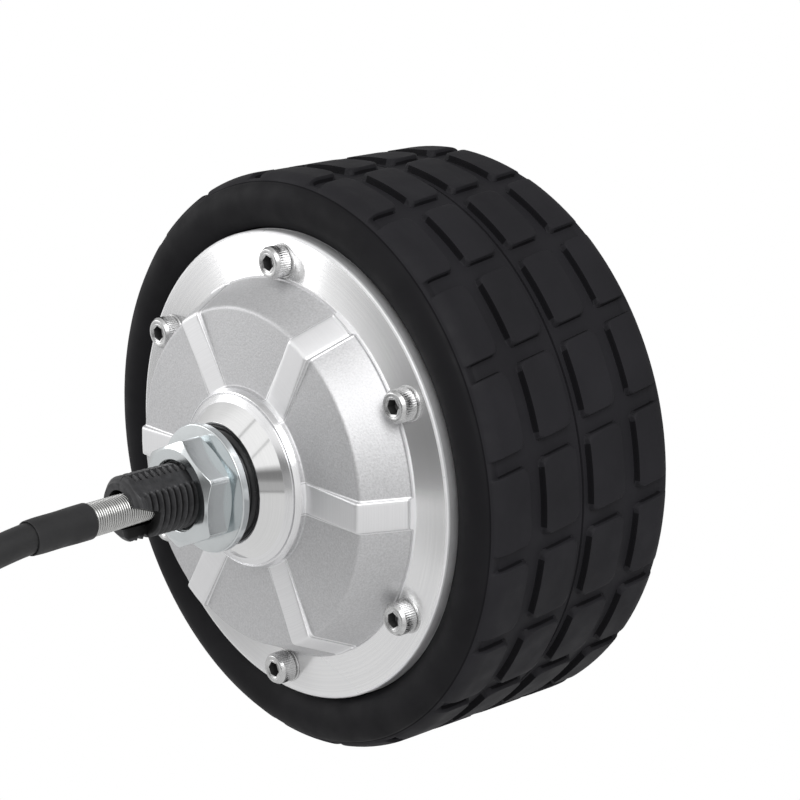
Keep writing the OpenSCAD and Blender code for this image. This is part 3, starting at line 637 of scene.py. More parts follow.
def ray_kinds(tree, *kinds):
    """1 for a ray of one of these kinds, such as Is Camera Ray."""
    path = tree.nodes.new("ShaderNodeLightPath")
    total = path.outputs[kinds[0]]
    for kind in kinds[1:]:
        inputs = {0: total, 1: path.outputs[kind]}
        total = add_node(tree, "ShaderNodeMath", inputs, operation="MAXIMUM").outputs[0]
    return total


def mix_shaders(tree, share, first, second, output):
    mix = add_node(tree, "ShaderNodeMixShader", {0: share, 1: first.outputs[0], 2: second.outputs[0]})
    fill(tree.nodes[output], {"Surface": mix.outputs[0]})


def add_world():
    """A studio for the metal to mirror: white, with a dark band in front and dimmer towards the back.

    The camera sees plain white instead."""
    world = bpy.data.worlds.new("studio")
    bpy.context.scene.world = world
    world.use_nodes = True
    tree = world.node_tree
    direction = add_node(tree, "ShaderNodeTexCoord").outputs["Generated"]
    x, y, z = add_node(tree, "ShaderNodeSeparateXYZ", {0: direction}).outputs
    white = (1, 1, 1, 1)

    def ramp(value, *stops):
        """Greys (at, grey) along one axis of the direction, from -1 to 1."""
        scaled = add_node(tree, "ShaderNodeMapRange", {"Value": value, "From Min": -1, "From Max": 1})
        return colour_ramp(tree, scaled.outputs[0], [((at + 1) / 2, grey, grey, grey) for at, grey in stops])

    def blend(kind, share, a, b):
        inputs = {"Factor": share, "A": a, "B": b}
        return add_node(tree, "ShaderNodeMix", inputs, data_type="RGBA", blend_type=kind).outputs["Result"]

    around = ramp(z, (-0.3, 0.92), (0.0, 1.0))
    front_left = ramp(z, (-0.30, 0.80), (-0.23, 0.20), (0.18, 0.16), (0.33, 1.0))
    front_right = ramp(z, (-0.22, 0.72), (-0.212, 0.20), (-0.200, 0.20), (-0.19, 0.46), (0.0, 0.44),
                       (0.06, 0.24), (0.19, 0.20), (0.25, 0.55), (0.31, 1.0))
    front = blend("MIX", ramp(x, (0.0, 0), (0.3, 1)), front_left, front_right)
    window = blend("MULTIPLY", 1, ramp(y, (-0.68, 1), (-0.58, 0)), ramp(x, (-0.76, 0), (-0.52, 1)))
    depth = ramp(y, (-0.5, 1.0), (0.0, 0.72), (0.5, 0.50), (1.0, 0.40))
    seams = ramp(x, (-0.239, 1), (-0.224, 0.5), (-0.204, 0.5), (-0.189, 1),
                 (0.207, 1), (0.217, 0.5), (0.235, 0.5), (0.247, 1))
    behind = blend("MIX", ramp(y, (-0.4, 0), (-0.1, 1)), white, ramp(z, (0.40, 1), (0.70, 0.70)))
    behind = blend("MIX", ramp(x, (0.2, 0), (0.6, 1)), behind, white)
    light = blend("MIX", window, around, front)
    for part in (depth, blend("MIX", ramp(z, (0.35, 0), (0.40, 1)), white, seams), behind):
        light = blend("MULTIPLY", 1, light, part)
    studio = tree.nodes["Background"]
    fill(studio, {"Color": light, "Strength": 0.95})
    plain = add_node(tree, "ShaderNodeBackground", {"Color": white})
    mix_shaders(tree, ray_kinds(tree, "Is Camera Ray", "Is Transmission Ray"), studio, plain, "World Output")


def add_floor():
    """A pale disc under the wheel. The camera sees it plain white, as it sees the world."""
    reach, sides, glow = 250, 96, 0.68
    mesh = bpy.data.meshes.new("floor")
    around = np.linspace(0, 2 * math.pi, sides, endpoint=False)
    edge = np.stack([reach * np.cos(around), reach * np.sin(around), np.full(sides, FLOOR_Z)], 1) * MM
    mesh.from_pydata(edge.tolist(), [], [list(range(sides))])
    new_object("floor", mesh)
    material = bpy.data.materials.new("floor_pale")
    material.use_nodes = True
    tree = material.node_tree
    shader = tree.nodes["Principled BSDF"]
    fill(shader, {"Base Color": (0.88, 0.88, 0.88, 1), "Roughness": 0.9})
    share = {0: ray_kinds(tree, "Is Camera Ray", "Is Transmission Ray"), 1: 1 - glow, 2: glow}
    strength = add_node(tree, "ShaderNodeMath", share, operation="MULTIPLY_ADD").outputs[0]
    light = add_node(tree, "ShaderNodeEmission", {"Color": (1, 1, 1, 1), "Strength": strength})
    seen = ray_kinds(tree, "Is Camera Ray", "Is Glossy Ray", "Is Transmission Ray")
    mix_shaders(tree, seen, shader, light, "Material Output")
    mesh.materials.append(material)


add_camera()


# The cord and what is on it

def smooth_line(points, step=1.5):
    """A smooth curve through the points, as points about a step apart."""
    points = np.asarray(points, float)
    ends = np.vstack([2 * points[0] - points[1], points, 2 * points[-1] - points[-2]])
    out = []
    for a, b, c, d in zip(ends, ends[1:], ends[2:], ends[3:]):
        square, cube = 2 * a - 5 * b + 4 * c - d, 3 * b - a - 3 * c + d
        count = max(2, int(np.linalg.norm(c - b) / step))
        for t in np.arange(count) / count:
            out.append(0.5 * (2 * b + (c - a) * t + square * t ** 2 + cube * t ** 3))
    return np.array(out + [points[-1]])


def cable_line():
    """The whole centreline: out of the axle, down to the floor, round the coil and on to the plug."""
    turns = np.arange(0, COIL_TURNS * 360 + 1, 10.0)
    r = COIL_IN_R + COIL_PITCH * turns / 360
    angle = np.radians(-turns)
    x, y = COIL_AT[0] + r * np.cos(angle), COIL_AT[1] + r * np.sin(angle)
    coil = np.stack([x, y, np.full_like(r, COIL_Z)], 1)
    tail_x = coil[-1][0]
    tail = [[tail_x, COIL_AT[1] + TAIL_LEN * t, COIL_Z] for t in (0.33, 0.67, 1.0)]
    return smooth_line(np.vstack([CABLE_ROUTE, coil[1:], tail]))


def on_lean(distance, r, angle):
    """Points round the line on which the cable leaves the axle, in the row frame, in metres."""
    lean, turn = math.radians(CABLE_LEAN), math.radians(CABLE_TURN)
    along = Vector((math.sin(turn) * math.sin(lean), -math.cos(lean), math.cos(turn) * math.sin(lean)))
    side = along.cross(Vector((0, 0, 1))).normalized()
    distance, r, angle = (np.array(each)[..., None] for each in np.broadcast_arrays(distance, r, angle))
    around = np.cos(angle) * np.array(side) + np.sin(angle) * np.array(side.cross(along))
    return (np.array([0, MID_Y - LEAN_Z, 0]) + distance * np.array(along) + r * around) * MM


def add_cable():
    """The cord, its centreline in metres and its length."""
    line = cable_line() * MM
    curve = bpy.data.curves.new("cable_cord", "CURVE")
    curve.dimensions = "3D"
    curve.bevel_depth = CABLE_D / 2 * MM
    curve.bevel_resolution = 6
    curve.use_fill_caps = True
    spline = curve.splines.new("POLY")
    spline.points.add(len(line) - 1)
    spline.points.foreach_set("co", np.hstack([line, np.ones((len(line), 1))]).ravel())
    curve.materials.append(CABLE)
    cable = finish_piece(new_object("cable_cord", curve), AXLE, ("cable", "cable_coil", "cable_tail"))
    return cable, line, float(np.linalg.norm(np.diff(line, axis=0), axis=1).sum())


def add_guard():
    """A close-wound spring round the cable where it leaves the axle."""
    wire_r, pitch, sides, per_turn = 0.28, 0.60, 8, 32
    steps = int((GUARD_LEN - 2 * wire_r) / pitch * per_turn)
    turn = (np.arange(steps + 1) * 2 * math.pi / per_turn)[:, None]
    along = GUARD_FROM + wire_r + turn / (2 * math.pi) * pitch
    section = np.radians(all_round(sides))
    points = on_lean(along + wire_r * np.sin(section), GUARD_D / 2 - wire_r + wire_r * np.cos(section), turn)
    return make_piece("guard_spring", points, tube_faces(len(turn), sides), AXLE, [SPRING],
                      ("spring_guard",), sharp=60)


def add_sleeve():
    """Shrunk tubing: wider over the guard's end, then drawn down on the cable."""
    gap, columns = 0.05, 64
    start = GUARD_FROM + GUARD_LEN - 2
    end = start + SLEEVE_LEN
    inner, over_guard, outer = CABLE_D / 2 + gap, GUARD_D / 2 + gap, SLEEVE_D / 2
    line = rounded([
        (over_guard, start, 0.1), (outer, start, 0.25), (outer, start + 4, 2), (outer - 0.12, start + 7, 2),
        (outer - 0.1, end - 2.5, 1), (outer - 0.22, end, 0.3), (inner, end, 0.1),
        (inner, start + 2.4, 0.2), (over_guard, start + 2.1, 0.1)], 4)
    r, along = line[:, :1], line[:, 1:]
    angle = np.radians(all_round(columns))
    wobble = 1 - 0.006 * (0.5 + 0.5 * np.sin(2 * angle + along * 0.5))
    points = on_lean(along, r * np.where(r > inner + 0.2, wobble, 1), angle)
    return make_piece("sleeve_shrunk", points, grid_faces(len(line), columns, True), AXLE, [SLEEVE],
                      ("cable_sleeve",))


def rounded_box(half_x, half_z, corner, steps=5):
    """A rounded rectangle's points (x, z), anticlockwise."""
    out = []
    for cx, cz, first in ((1, 1, 0), (-1, 1, 90), (-1, -1, 180), (1, -1, 270)):
        for a in np.radians(first + np.linspace(0, 90, steps + 1)):
            x, z = cx * (half_x - corner), cz * (half_z - corner)
            out.append((x + corner * math.cos(a), z + corner * math.sin(a)))
    return np.array(out)


def loft(name, place, sections, cad):
    """A closed plastic body through rounded rectangles (y, half width, half height, corner) along +Y."""
    rings = []
    for y, half_x, half_z, corner in sections:
        x, z = rounded_box(half_x, half_z, corner).T
        rings.append(np.column_stack([x, np.full(len(x), y), z]) + place)
    faces = tube_faces(len(rings), len(rings[0]))
    return make_piece(name, np.array(rings) * MM, faces, AXLE, [PLASTIC], cad)


def add_plug():
    """A plain two-row plug with a ribbed strain relief."""
    low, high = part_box("plug_body")
    tail_x = (low.x + high.x) / 2 / MM
    boot_y = COIL_AT[1] + TAIL_LEN
    ribs = [(0, 3.6, 3.4, 3.2), (0.3, 3.75, 3.6, 3.3)]
    for i in range(BOOT_RIBS_N):
        at, grow = 1.2 + i * 2.2, i / BOOT_RIBS_N
        w = 3.7 + grow * 2.2
        ribs += [(at, w - 0.45, 3.25, 2.9), (at + 0.5, w - 0.45, 3.25, 2.9), (at + 0.65, w, 3.65, 3.0 - grow),
                 (at + 1.6, w + 0.2, 3.68, 2.9 - grow), (at + 1.75, w - 0.3, 3.3, 2.7 - grow)]
    ribs += [(12.6, 5.6, 3.5, 1.8), (BOOT_LEN, 6.0, PLUG_HALF_H, 1.4)]
    boot = loft("plug_relief", (tail_x, boot_y, COIL_Z), ribs, ("plug_boot",))
    nose, end, pocket = 15.4, 22, 17
    # Each section's y, how far it lies inside the whole width and height, and its corner
    insets = [
        (0, 0.8, 0.5, 0.9), (0.5, 0.1, 0.05, 1), (1, 0, 0, 1), (5.6, 0, 0, 1), (5.8, 0.4, 0.35, 0.9),
        (6.6, 0.4, 0.35, 0.9), (6.8, 0, 0, 1), (nose - 0.4, 0, 0, 1), (nose, 0.3, 0.3, 0.9),
        (nose, 1, 0.8, 0.8), (end - 0.4, 1, 0.8, 0.8), (end, 1.3, 1.1, 0.7), (end, 1.9, 1.7, 0.5),
        (pocket, 1.9, 1.7, 0.5),
    ]
    shell = [(y, PLUG_HALF_W - in_x, PLUG_HALF_H - in_z, corner) for y, in_x, in_z, corner in insets]
    body = loft("plug_shell", (tail_x, boot_y + BOOT_LEN, COIL_Z), shell, ("plug_body",))
    return boot, body


def add_ties():
    """Two nylon ties, each round the three turns of cable that lie where it is."""
    half = COIL_PITCH + CABLE_D / 2
    sections = [(0.02, -1.4), (0.4, -1.5), (TIE_T, -1.2), (TIE_T, 1.2), (0.4, 1.5), (0.02, 1.4)]
    points, faces = [], []
    for turn in TIE_TURNS:
        angle, mid = math.radians(turn), COIL_IN_R + COIL_PITCH * (1 - turn / 360)
        out = np.array([math.cos(angle), math.sin(angle), 0])
        side = np.array([-math.sin(angle), math.cos(angle), 0])
        first = len(points)
        for grow, across in sections:
            x, z = rounded_box(half + grow, CABLE_D / 2 + grow, 2.6 + grow).T
            loop = np.outer(x + mid, out) + np.outer(z, (0, 0, 1)) + across * side
            points += list(loop + [*COIL_AT, COIL_Z])
        faces += grid_faces(len(sections), len(x), True, first)
    points = np.array(points) * MM
    return make_piece("coil_bands", points, faces, AXLE, [PLASTIC], ("coil_ties",))


cable, cable_path, cable_length = add_cable()
guard, sleeve, ties = add_guard(), add_sleeve(), add_ties()
boot, plug = add_plug()
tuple(cable_path[0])


# The tyre

def tread_line():
    """The tyre's outer line from the middle to the bead: its [r, z], its directions outward, its lengths."""
    flat_end = TYRE_HALF_W - SHOULDER_R
    top = TYRE_R - SHOULDER_R
    inner = CENTRE_GROOVE_W / 2
    edges = [inner, inner + BLOCK_W, inner + BLOCK_W + SIDE_GROOVE_W]
    near_edge = np.array([-1.2, -0.5, -0.2, -0.1, 0, 0.1, 0.2, 0.33, 0.5, 1.3])
    stops = [0, *(PARTING_Z + np.array([-0.28, -0.13, 0.13, 0.28]))]
    for edge, block_side in zip(edges, (-1, 1, -1)):
        stops += list(edge + near_edge * block_side)
    stops += [*np.arange(stops[-1] + 1, flat_end, 1.2), 6.6, 8.2, flat_end]
    flat = np.unique(np.round([stop for stop in stops if 0 <= stop <= flat_end], 3))
    line = [(TYRE_R, z, 1, 0) for z in flat]
    for angle in np.radians(np.linspace(0, 90, 29)[1:]):
        out_r, out_z = math.cos(angle), math.sin(angle)
        line.append((top + SHOULDER_R * out_r, flat_end + SHOULDER_R * out_z, out_r, out_z))
    for t in [*np.linspace(0, 0.9, 10)[1:], BEAD_GAP_FROM, BEAD_GAP_FROM + 0.012, 1]:
        drop = (TYRE_HALF_W - BEAD_Z) * t * t + BEAD_GAP_DEPTH * (t > BEAD_GAP_FROM)
        line.append((top + (RIM_R + 0.05 - top) * t, TYRE_HALF_W - drop, 0, 1))
    line = np.array(line)
    along = np.concatenate([[0], np.cumsum(np.hypot(*np.diff(line[:, :2], axis=0).T))])
    return line[:, :2], line[:, 2:], along


def block_sink(along, across):
    """How far the rubber lies under the blocks' tops, from 0 to 1, by the place on the tread."""
    wall_from, wall_w = -0.12, 0.45
    inner = CENTRE_GROOVE_W / 2
    outer = inner + BLOCK_W + SIDE_GROOVE_W
    shoulder = TYRE_HALF_W - SHOULDER_R + SHOULDER_FADE[1]
    half_across = (BLOCK_PITCH - CROSS_GROOVE_W) / 2
    sink = np.ones(np.broadcast(along, across).shape)
    for low, high in ((inner, inner + BLOCK_W), (outer, shoulder)):
        dx = np.abs(across) - half_across + BLOCK_CORNER
        dy = np.abs(along - (low + high) / 2) - (high - low) / 2 + BLOCK_CORNER
        outside = np.hypot(np.maximum(dx, 0), np.maximum(dy, 0)) + np.minimum(np.maximum(dx, dy), 0)
        sink = np.minimum(sink, smooth_step((outside - BLOCK_CORNER - wall_from) / wall_w))
    return sink


def painted_shade_walls(sink, z, shift):
    """The faces of the blocks' walls that get painted shade: the walls towards the nut's side, and the low
    walls across the tread.
    """
    below, beside, beyond = np.roll(sink, -1, 0), np.roll(sink, -1, 1), np.roll(sink, (-1, -1), (0, 1))
    row_steps, column_steps = np.roll(z, -1) - z, np.roll(shift, -1) - shift
    row_steps = np.where(np.abs(row_steps) > 0.01, row_steps, 1)
    rise_near = (below + beyond - sink - beside) / 2 / row_steps[:, None]
    rise_round = np.abs(beside + beyond - sink - below) / 2 / np.abs(column_steps)
    middle = (sink + below + beside + beyond) / 4
    steep_near, steep_round, level, low = 0.9, 0.6, 0.25, 0.6
    near_wall = (rise_near > steep_near) & (rise_round < level)
    return near_wall | ((rise_round > steep_round) & (np.abs(rise_near) < level) & (middle > low))


def add_tyre():
    """The tyre's skin in rubber: blocks, grooves, shoulders, side walls and the parting line."""
    place, out, along = tread_line()
    mm_per_degree = 2 * math.pi * TYRE_R / 360
    near_edge = np.array([-1.9, -1.2, -0.7, -0.42, -0.3, -0.2, -0.1, 0, 0.08, 0.16, 0.35, 0.8, 1.7, 3.4, 5.8])
    near_edge += CROSS_GROOVE_W / 2
    one = np.concatenate([-near_edge[:0:-1], near_edge, [BLOCK_PITCH / 2]])
    shift = np.concatenate([one + k * BLOCK_PITCH for k in range(BLOCKS_N)])
    across = BLOCK_PITCH / 2 - np.tile(np.abs(one), BLOCKS_N)
    halves = []
    for side in (-1, 1):
        order = slice(None, 0, -1) if side < 0 else slice(None)
        z = side * place[order, 1:]
        slant = math.tan(math.radians(GROOVE_SLANT)) * z
        turn = GROOVE_TURN + (shift + slant) / mm_per_degree
        arc = along[order, None] - (TYRE_HALF_W - SHOULDER_R)
        fade = 1 - smooth_step((arc - SHOULDER_FADE[0]) / (SHOULDER_FADE[1] - SHOULDER_FADE[0]))
        sink = block_sink(along[order, None], across) * fade
        crease = CREASE_DEPTH * np.exp(-((arc - SHOULDER_CREASE) / CREASE_W) ** 2)
        depth = sink * TREAD_DEPTH + crease + PARTING_DEPTH * (np.abs(z + PARTING_Z) < PARTING_HALF_W)
        points = polar(place[order, :1] - out[order, :1] * depth, turn, z - side * out[order, 1:] * depth)
        halves.append((points, z[:, 0], sink, arc[:, 0]))
    points, z, sink, arc = (np.concatenate(both) for both in zip(*halves))
    bead_r = RIM_R + (TYRE_R - SHOULDER_R - RIM_R) * (1 - BEAD_GAP_FROM) + 0.01
    # Painted shade: the parting line, the shoulder's crease and the gap at the bead take the dark crease
    # rubber, as do the shaded block walls.
    shaded_lines = (np.abs(z + PARTING_Z) < PARTING_HALF_W) | (np.abs(arc - SHOULDER_CREASE) < 0.2)
    shaded_lines |= np.hypot(points[:, 0, 0], points[:, 0, 1]) < bead_r
    # Side wall faces get the side wall rubber, darkened as painted shade.
    wall = np.where(arc > SHOULDER_CREASE, 1, 0)[:, None]
    looks = np.where(painted_shade_walls(sink, z, shift) | shaded_lines[:, None], 2, wall)
    make_piece("tyre_tread", to_row(points), grid_faces(len(points), len(shift), True), WHEEL,
               [TYRE, WALL_SHADED, CREASE_SHADE], ("tyre",), face_looks=looks.ravel(), sharp=50)


# The rim and the cover

def ribbed_ring(name, line, lifted, lift, width, looks, zone, cad):
    """A turned body whose lifted rows carry straight ribs. zone(row, r, z, part) picks each face's look."""
    between, narrowest_r = 18, 9
    from_edge = np.array([-0.9, -0.38, -0.20, -0.05, 0.12, 0.22, 0.4, 0.8])
    share = np.array([1, 1, 0.93, 0.72, 0.16, 0.05, 0, 0])
    offsets = np.concatenate([-(width / 2 + from_edge)[::-1], [0], width / 2 + from_edge])
    sector = 360 / RIBS_N
    turns = []
    for r in line[:, 0]:
        near_rib = np.degrees(np.arcsin(np.clip(offsets / max(r, narrowest_r), -1, 1)))
        gap = np.linspace(near_rib[-1], sector + near_rib[0], between + 2)[1:-1]
        one = np.concatenate([near_rib, gap])
        turns.append(np.concatenate([one + sector * (k + 0.5) for k in range(RIBS_N)]))
    rise = np.tile(np.concatenate([share[::-1], [1], share, np.zeros(between)]), RIBS_N)
    z = line[:, 1:] + lift * np.asarray(lifted)[:, None] * rise
    points = polar(line[:, :1], np.array(turns), z)
    lower, higher = np.minimum(rise, np.roll(rise, -1)), np.maximum(rise, np.roll(rise, -1))
    bevel = (higher > 0.01) & ~((lower < 0.5) & (higher > 0.5))
    part = np.where(lower > 0.95, "top", np.where(bevel, "bevel", "plate"))
    middle = (line + np.roll(line, -1, 0)) / 2
    looks_at = [zone(row, r, z, each) for row, (r, z) in enumerate(middle) for each in part]
    faces = grid_faces(len(line), len(rise), True)
    make_piece(name, to_row(points), faces, WHEEL, looks, cad, looks_at)


def add_cover():
    """Flange, dome with six ribs, and the polished boss, closed at the back."""
    foot, groove_r, plug_r = CAVITY_R, BOSS_R - 0.8, CAVITY_R - 0.02
    flange, dome, boss, shelf = FLANGE_Z, DOME_Z, BOSS_Z, FLANGE_Z + DOME_STEP
    seat_from, seat_to = FRONT_SEAT_Z
    groove_z, band_z = dome + 2.4, boss - 3.8
    line = rounded([
        (COVER_R, SEAT_Z, 0.1), (COVER_R, flange, 0.7), (foot + 0.05, flange, 0), (foot, flange + 0.02, 0),
        (foot, FOOT_LINE_Z, 0), (foot, shelf, 0.12), (foot - 0.4, shelf + 0.05, 0.2), (RIDGE_R, dome, 0.7),
        (BOSS_R + 0.1, dome, 0.35), (BOSS_R, dome + 1, 0.3), (groove_r + 0.2, groove_z - 0.05, 0.3),
        (groove_r, groove_z, 0.05), (groove_r - 0.08, groove_z - 0.4, 0.05),
        (groove_r - 0.26, groove_z - 0.4, 0.05), (groove_r - 0.32, groove_z + 0.1, 0.1),
        (BAND_R + 0.1, band_z - 0.07, 0.1), (BAND_R, band_z, 0.05),
        (MOUTH_R, boss, 0.16), (SEAL_R + 0.02, boss - 0.65, 0.05), (SEAL_R + 0.02, boss - SEAL_POCKET_H, 0),
        (FRONT_STOP_R, boss - SEAL_POCKET_H, 0), (FRONT_STOP_R, seat_to, 0), (FRONT_SEAT_R, seat_to, 0),
        (FRONT_SEAT_R, seat_from, 0), (BOSS_R, seat_from, 0.5), (BOSS_R, dome - COVER_T, 0.8),
        (RIDGE_R - 2.5, dome - COVER_T, 1), (foot - COVER_T, flange - 0.5, 0.5),
        (foot - COVER_T, SEAT_Z - SPIGOT_H, 0.3), (plug_r, SEAT_Z - SPIGOT_H, 0.3), (plug_r, SEAT_Z, 0),
    ])
    on_dome = (line[:, 0] <= foot + 1e-6) & (line[:, 0] > BOSS_R + 0.7) & (line[:, 1] > flange + 0.3)
    inside = np.arange(len(line)) > int(np.argmin(np.abs(line[:, 0] - FRONT_STOP_R)))
    cast, turned, polished, milled, lip, edge, face = range(7)

    def zone(row, r, z, part):
        # lip is painted shade and edge painted highlight: the flange's side is darker and its chamfer paler;
        # at the dome's foot line the upper wall is darker and the lower strip paler.
        if r > COVER_R - 0.75 and z > SEAT_Z:
            return lip if z < flange - 0.7 else edge
        if abs(r - foot) < 0.04 and z > flange:
            return lip if z > FOOT_LINE_Z else edge
        if r > foot and z > flange - 0.05:
            return face
        if inside[row] or r > foot or z < flange:
            return turned
        if r > BOSS_R - 0.05:
            return cast if part == "plate" else milled
        # Inside the boss's mouth: painted shade.
        return turned if r > BAND_R else polished if r > MOUTH_R - 0.05 else lip

    ribbed_ring("cover_dome", line, on_dome & ~inside, RIB_H, RIB_W,
                [CAST, TURNED, POLISHED, MILLED, LIP_SHADE, EDGE_HIGHLIGHT, FLANGE], zone, ("front_cover",))


def add_rim():
    """The rim's lips, the seat of the rotor and the ribbed rear wall with its bearing boss."""
    web, boss_r, boss_z, cavity, rotor_end = REAR_WEB_Z, REAR_BOSS_R, REAR_BOSS_Z, CAVITY_R, -13
    seat_from, seat_to = web + 1.5, web + 11
    line = rounded([
        (RIM_R, -SEAT_Z, 0.45), (RIM_R, SEAT_Z, 0.1), (cavity, SEAT_Z, 0.2), (cavity, rotor_end, 0),
        (cavity - 2, rotor_end, 0.3), (cavity - 2, web + 6, 1), (cavity - 5, web + 4, 1),
        (boss_r, web + 4, 0.8), (boss_r, seat_to, 0.5), (REAR_SEAT_R, seat_to, 0.2),
        (REAR_SEAT_R, seat_from, 0), (REAR_BORE_R, seat_from, 0), (REAR_BORE_R, boss_z, 0.2),
        (boss_r - 2, boss_z, 0.5),
        (boss_r, boss_z + 2, 0.5), (boss_r + 0.2, web, 0.6), (cavity + 0.9, web, 0.6),
        (cavity + 2.6, -SEAT_Z, 0.3), (RIM_R - 0.6, -SEAT_Z, 0),
    ])
    r, z = line.T
    rear = np.arange(len(line)) > len(line) // 2
    lifted = rear & (r > boss_r + 0.15) & (r < cavity + 2.0) & (z > -SEAT_Z)

    def zone(row, r, z, part):
        cast = rear[row] and boss_r + 0.1 < r < cavity + 0.8 and z < web + 0.5 and part == "plate"
        # The rim's outer lip gets the darker lip aluminium, a painted shade.
        return 0 if cast else 2 if r > RIM_R - 0.1 else 1

    ribbed_ring("rim_shell", line, lifted, -REAR_RIB_H, REAR_RIB_W, [CAST, TURNED, LIP_SHADE], zone, ("rim",))


def add_rear_cap():
    """A dished plastic cap over the rear bearing."""
    r, top = REAR_CAP_R, REAR_BOSS_Z + 0.4
    corners = [(0, top, 0), (r - 3, top, 0.5), (r - 3.2, top + 0.25, 0.3), (r - 1, top + 0.25, 0.3),
               (r - 0.8, top, 0.2), (r, top + 0.8, 0.4), (r, top + 2.2, 0), (r - 1, top + 2.2, 0),
               (r - 1, top + 1.2, 0), (0, top + 1.2, 0)]
    lathe("rear_dust_cap", corners, WHEEL, [PLASTIC], ("rear_cap",), columns=128)


# Screws

def hexagon(turns, width, corner=0.0):
    """The radius of a hexagon at these turns, cut back to a circle at its corners."""
    inside = turns % 60 - 30
    return np.minimum(width / 2 / np.cos(np.radians(inside)), width / 2 / math.cos(math.radians(30)) - corner)


def at_screws(columns, closed, shape):
    """Points and faces of shape(k), rows of points, moved to the place of each screw k."""
    points, faces = [], []
    for k in range(SCREWS_N):
        one = shape(k)
        faces += grid_faces(len(one), columns, closed, k * len(one) * columns)
        points.append(one + polar(SCREW_CIRCLE_R, k * 360 / SCREWS_N, 0))
    return to_row(np.array(points)), faces


def add_screws():
    """Socket head screws with knurled sides, chamfered fronts and hexagon sockets."""
    knurls, per_knurl, knurl_depth = 44, 6, 0.09
    columns = knurls * per_knurl
    turns = all_round(columns)
    top, r, key_r = SCREW_TOP_Z, SCREW_HEAD_R, SCREW_KEY_W / 2
    base = top - SCREW_HEAD_H
    tip = base - SCREW_SHANK_LEN
    socket = hexagon(turns, SCREW_KEY_W)
    knurl = r - knurl_depth * (0.5 - 0.5 * np.cos(np.radians(turns * knurls)))
    head = [
        (0, tip), (SCREW_SHANK_R - 0.7, tip), (SCREW_SHANK_R, tip + 0.7), (SCREW_SHANK_R, base),
        (r - 0.45, base), (r - 0.22, base + 0.05), (r - 0.1, base + 0.2), (knurl, base + 0.42),
        (knurl, top - 1.12), (r - 0.07, top - 1.0), (r - 0.02, top - 0.94), (r - 0.02, top - 0.74),
        (r - 0.06, top - 0.68), (r - 0.40, top - 0.2), (r - 0.46, top - 0.1), (r - 0.56, top - 0.02),
        (r - 0.7, top), (key_r * 1.52, top), (key_r * 1.47, top - 0.05), (key_r * 1.42, top - 0.05),
        (key_r * 1.36, top), (key_r * 1.26, top - 0.06),
    ]
    hole = [(socket * 1.01, top - 0.16), (socket, top - 0.3), (socket, top - 2.1), (socket * 0.9, top - 2.25),
            (0, top - 2.7)]

    def shape(k):
        turned = turns - SCREW_SPIN - SCREW_SPIN_STEP * k
        return np.array([polar(row_r, turned, z) for row_r, z in head + hole])

    points, faces = at_screws(columns, False, shape)
    # The socket's faces get the dark socket steel: painted shade inside the recess.
    looks_at = np.tile(np.repeat([0] * len(head) + [1] * (len(hole) - 1), columns), SCREWS_N)
    make_piece("socket_screws", points, faces, WHEEL, [SCREW, SOCKET_SHADE], ("cover_screws",),
               looks_at, 35)


def add_screw_washers():
    """A thin rounded washer under each screw's head."""
    columns, hole_r, r, top = 64, SCREW_SHANK_R + 0.15, SCREW_HEAD_R + 0.28, FLANGE_Z + SCREW_WASHER_T
    line = rounded([(hole_r, FLANGE_Z, 0.05), (r, FLANGE_Z, 0.12), (r, top, 0.16), (hole_r, top, 0.05)])
    one = polar(line[:, :1], all_round(columns), line[:, 1:])
    points, faces = at_screws(columns, True, lambda k: one)
    make_piece("screw_rings", points, faces, WHEEL, [SCREW], ("cover_screw_washers",))


# The seal, washer, nut and axle

def add_seal():
    """The rubber ring in the boss's mouth, with a groove between its two lips."""
    r, inner, top, low = SEAL_R, SPACER_R + 0.1, BOSS_Z - 0.25, BOSS_Z - SEAL_POCKET_H
    corners = [
        (inner + 0.6, low, 0), (r, low, 0), (r, top - 0.1, 0.15), (r - 0.5, top, 0.25),
        (r - 0.9, top - 0.45, 0.2), (r - 1.3, top - 0.1, 0.2), (r - 1.8, top + 0.45, 0.25),
        (inner + 0.1, top + 0.4, 0.2), (inner, top - 0.4, 0.2), (inner, low + 0.45, 0.2)]
    lathe("seal_ring", corners, WHEEL, [SEAL], ("shaft_seal",))


def add_washer():
    """The flat washer under the nut."""
    hole_r, r = THREAD_R + 0.15, WASHER_R
    corners = [(hole_r, WASHER_Z, 0.1), (r, WASHER_Z, 0.3), (r, NUT_Z, 0.34), (hole_r, NUT_Z, 0.1)]
    lathe("washer_ring", corners, AXLE, [ZINC], ("axle_washer",), steps=5)


def thread_profile(phase):
    """Depth of a thread's groove, from 0 at the crest to 1 at the root, by the share of one pitch."""
    open_share, flank_share = 0.86, 0.72
    t = np.abs((phase % 1) - 0.5) * 2
    return np.clip((open_share - t) / flank_share, 0, 1)


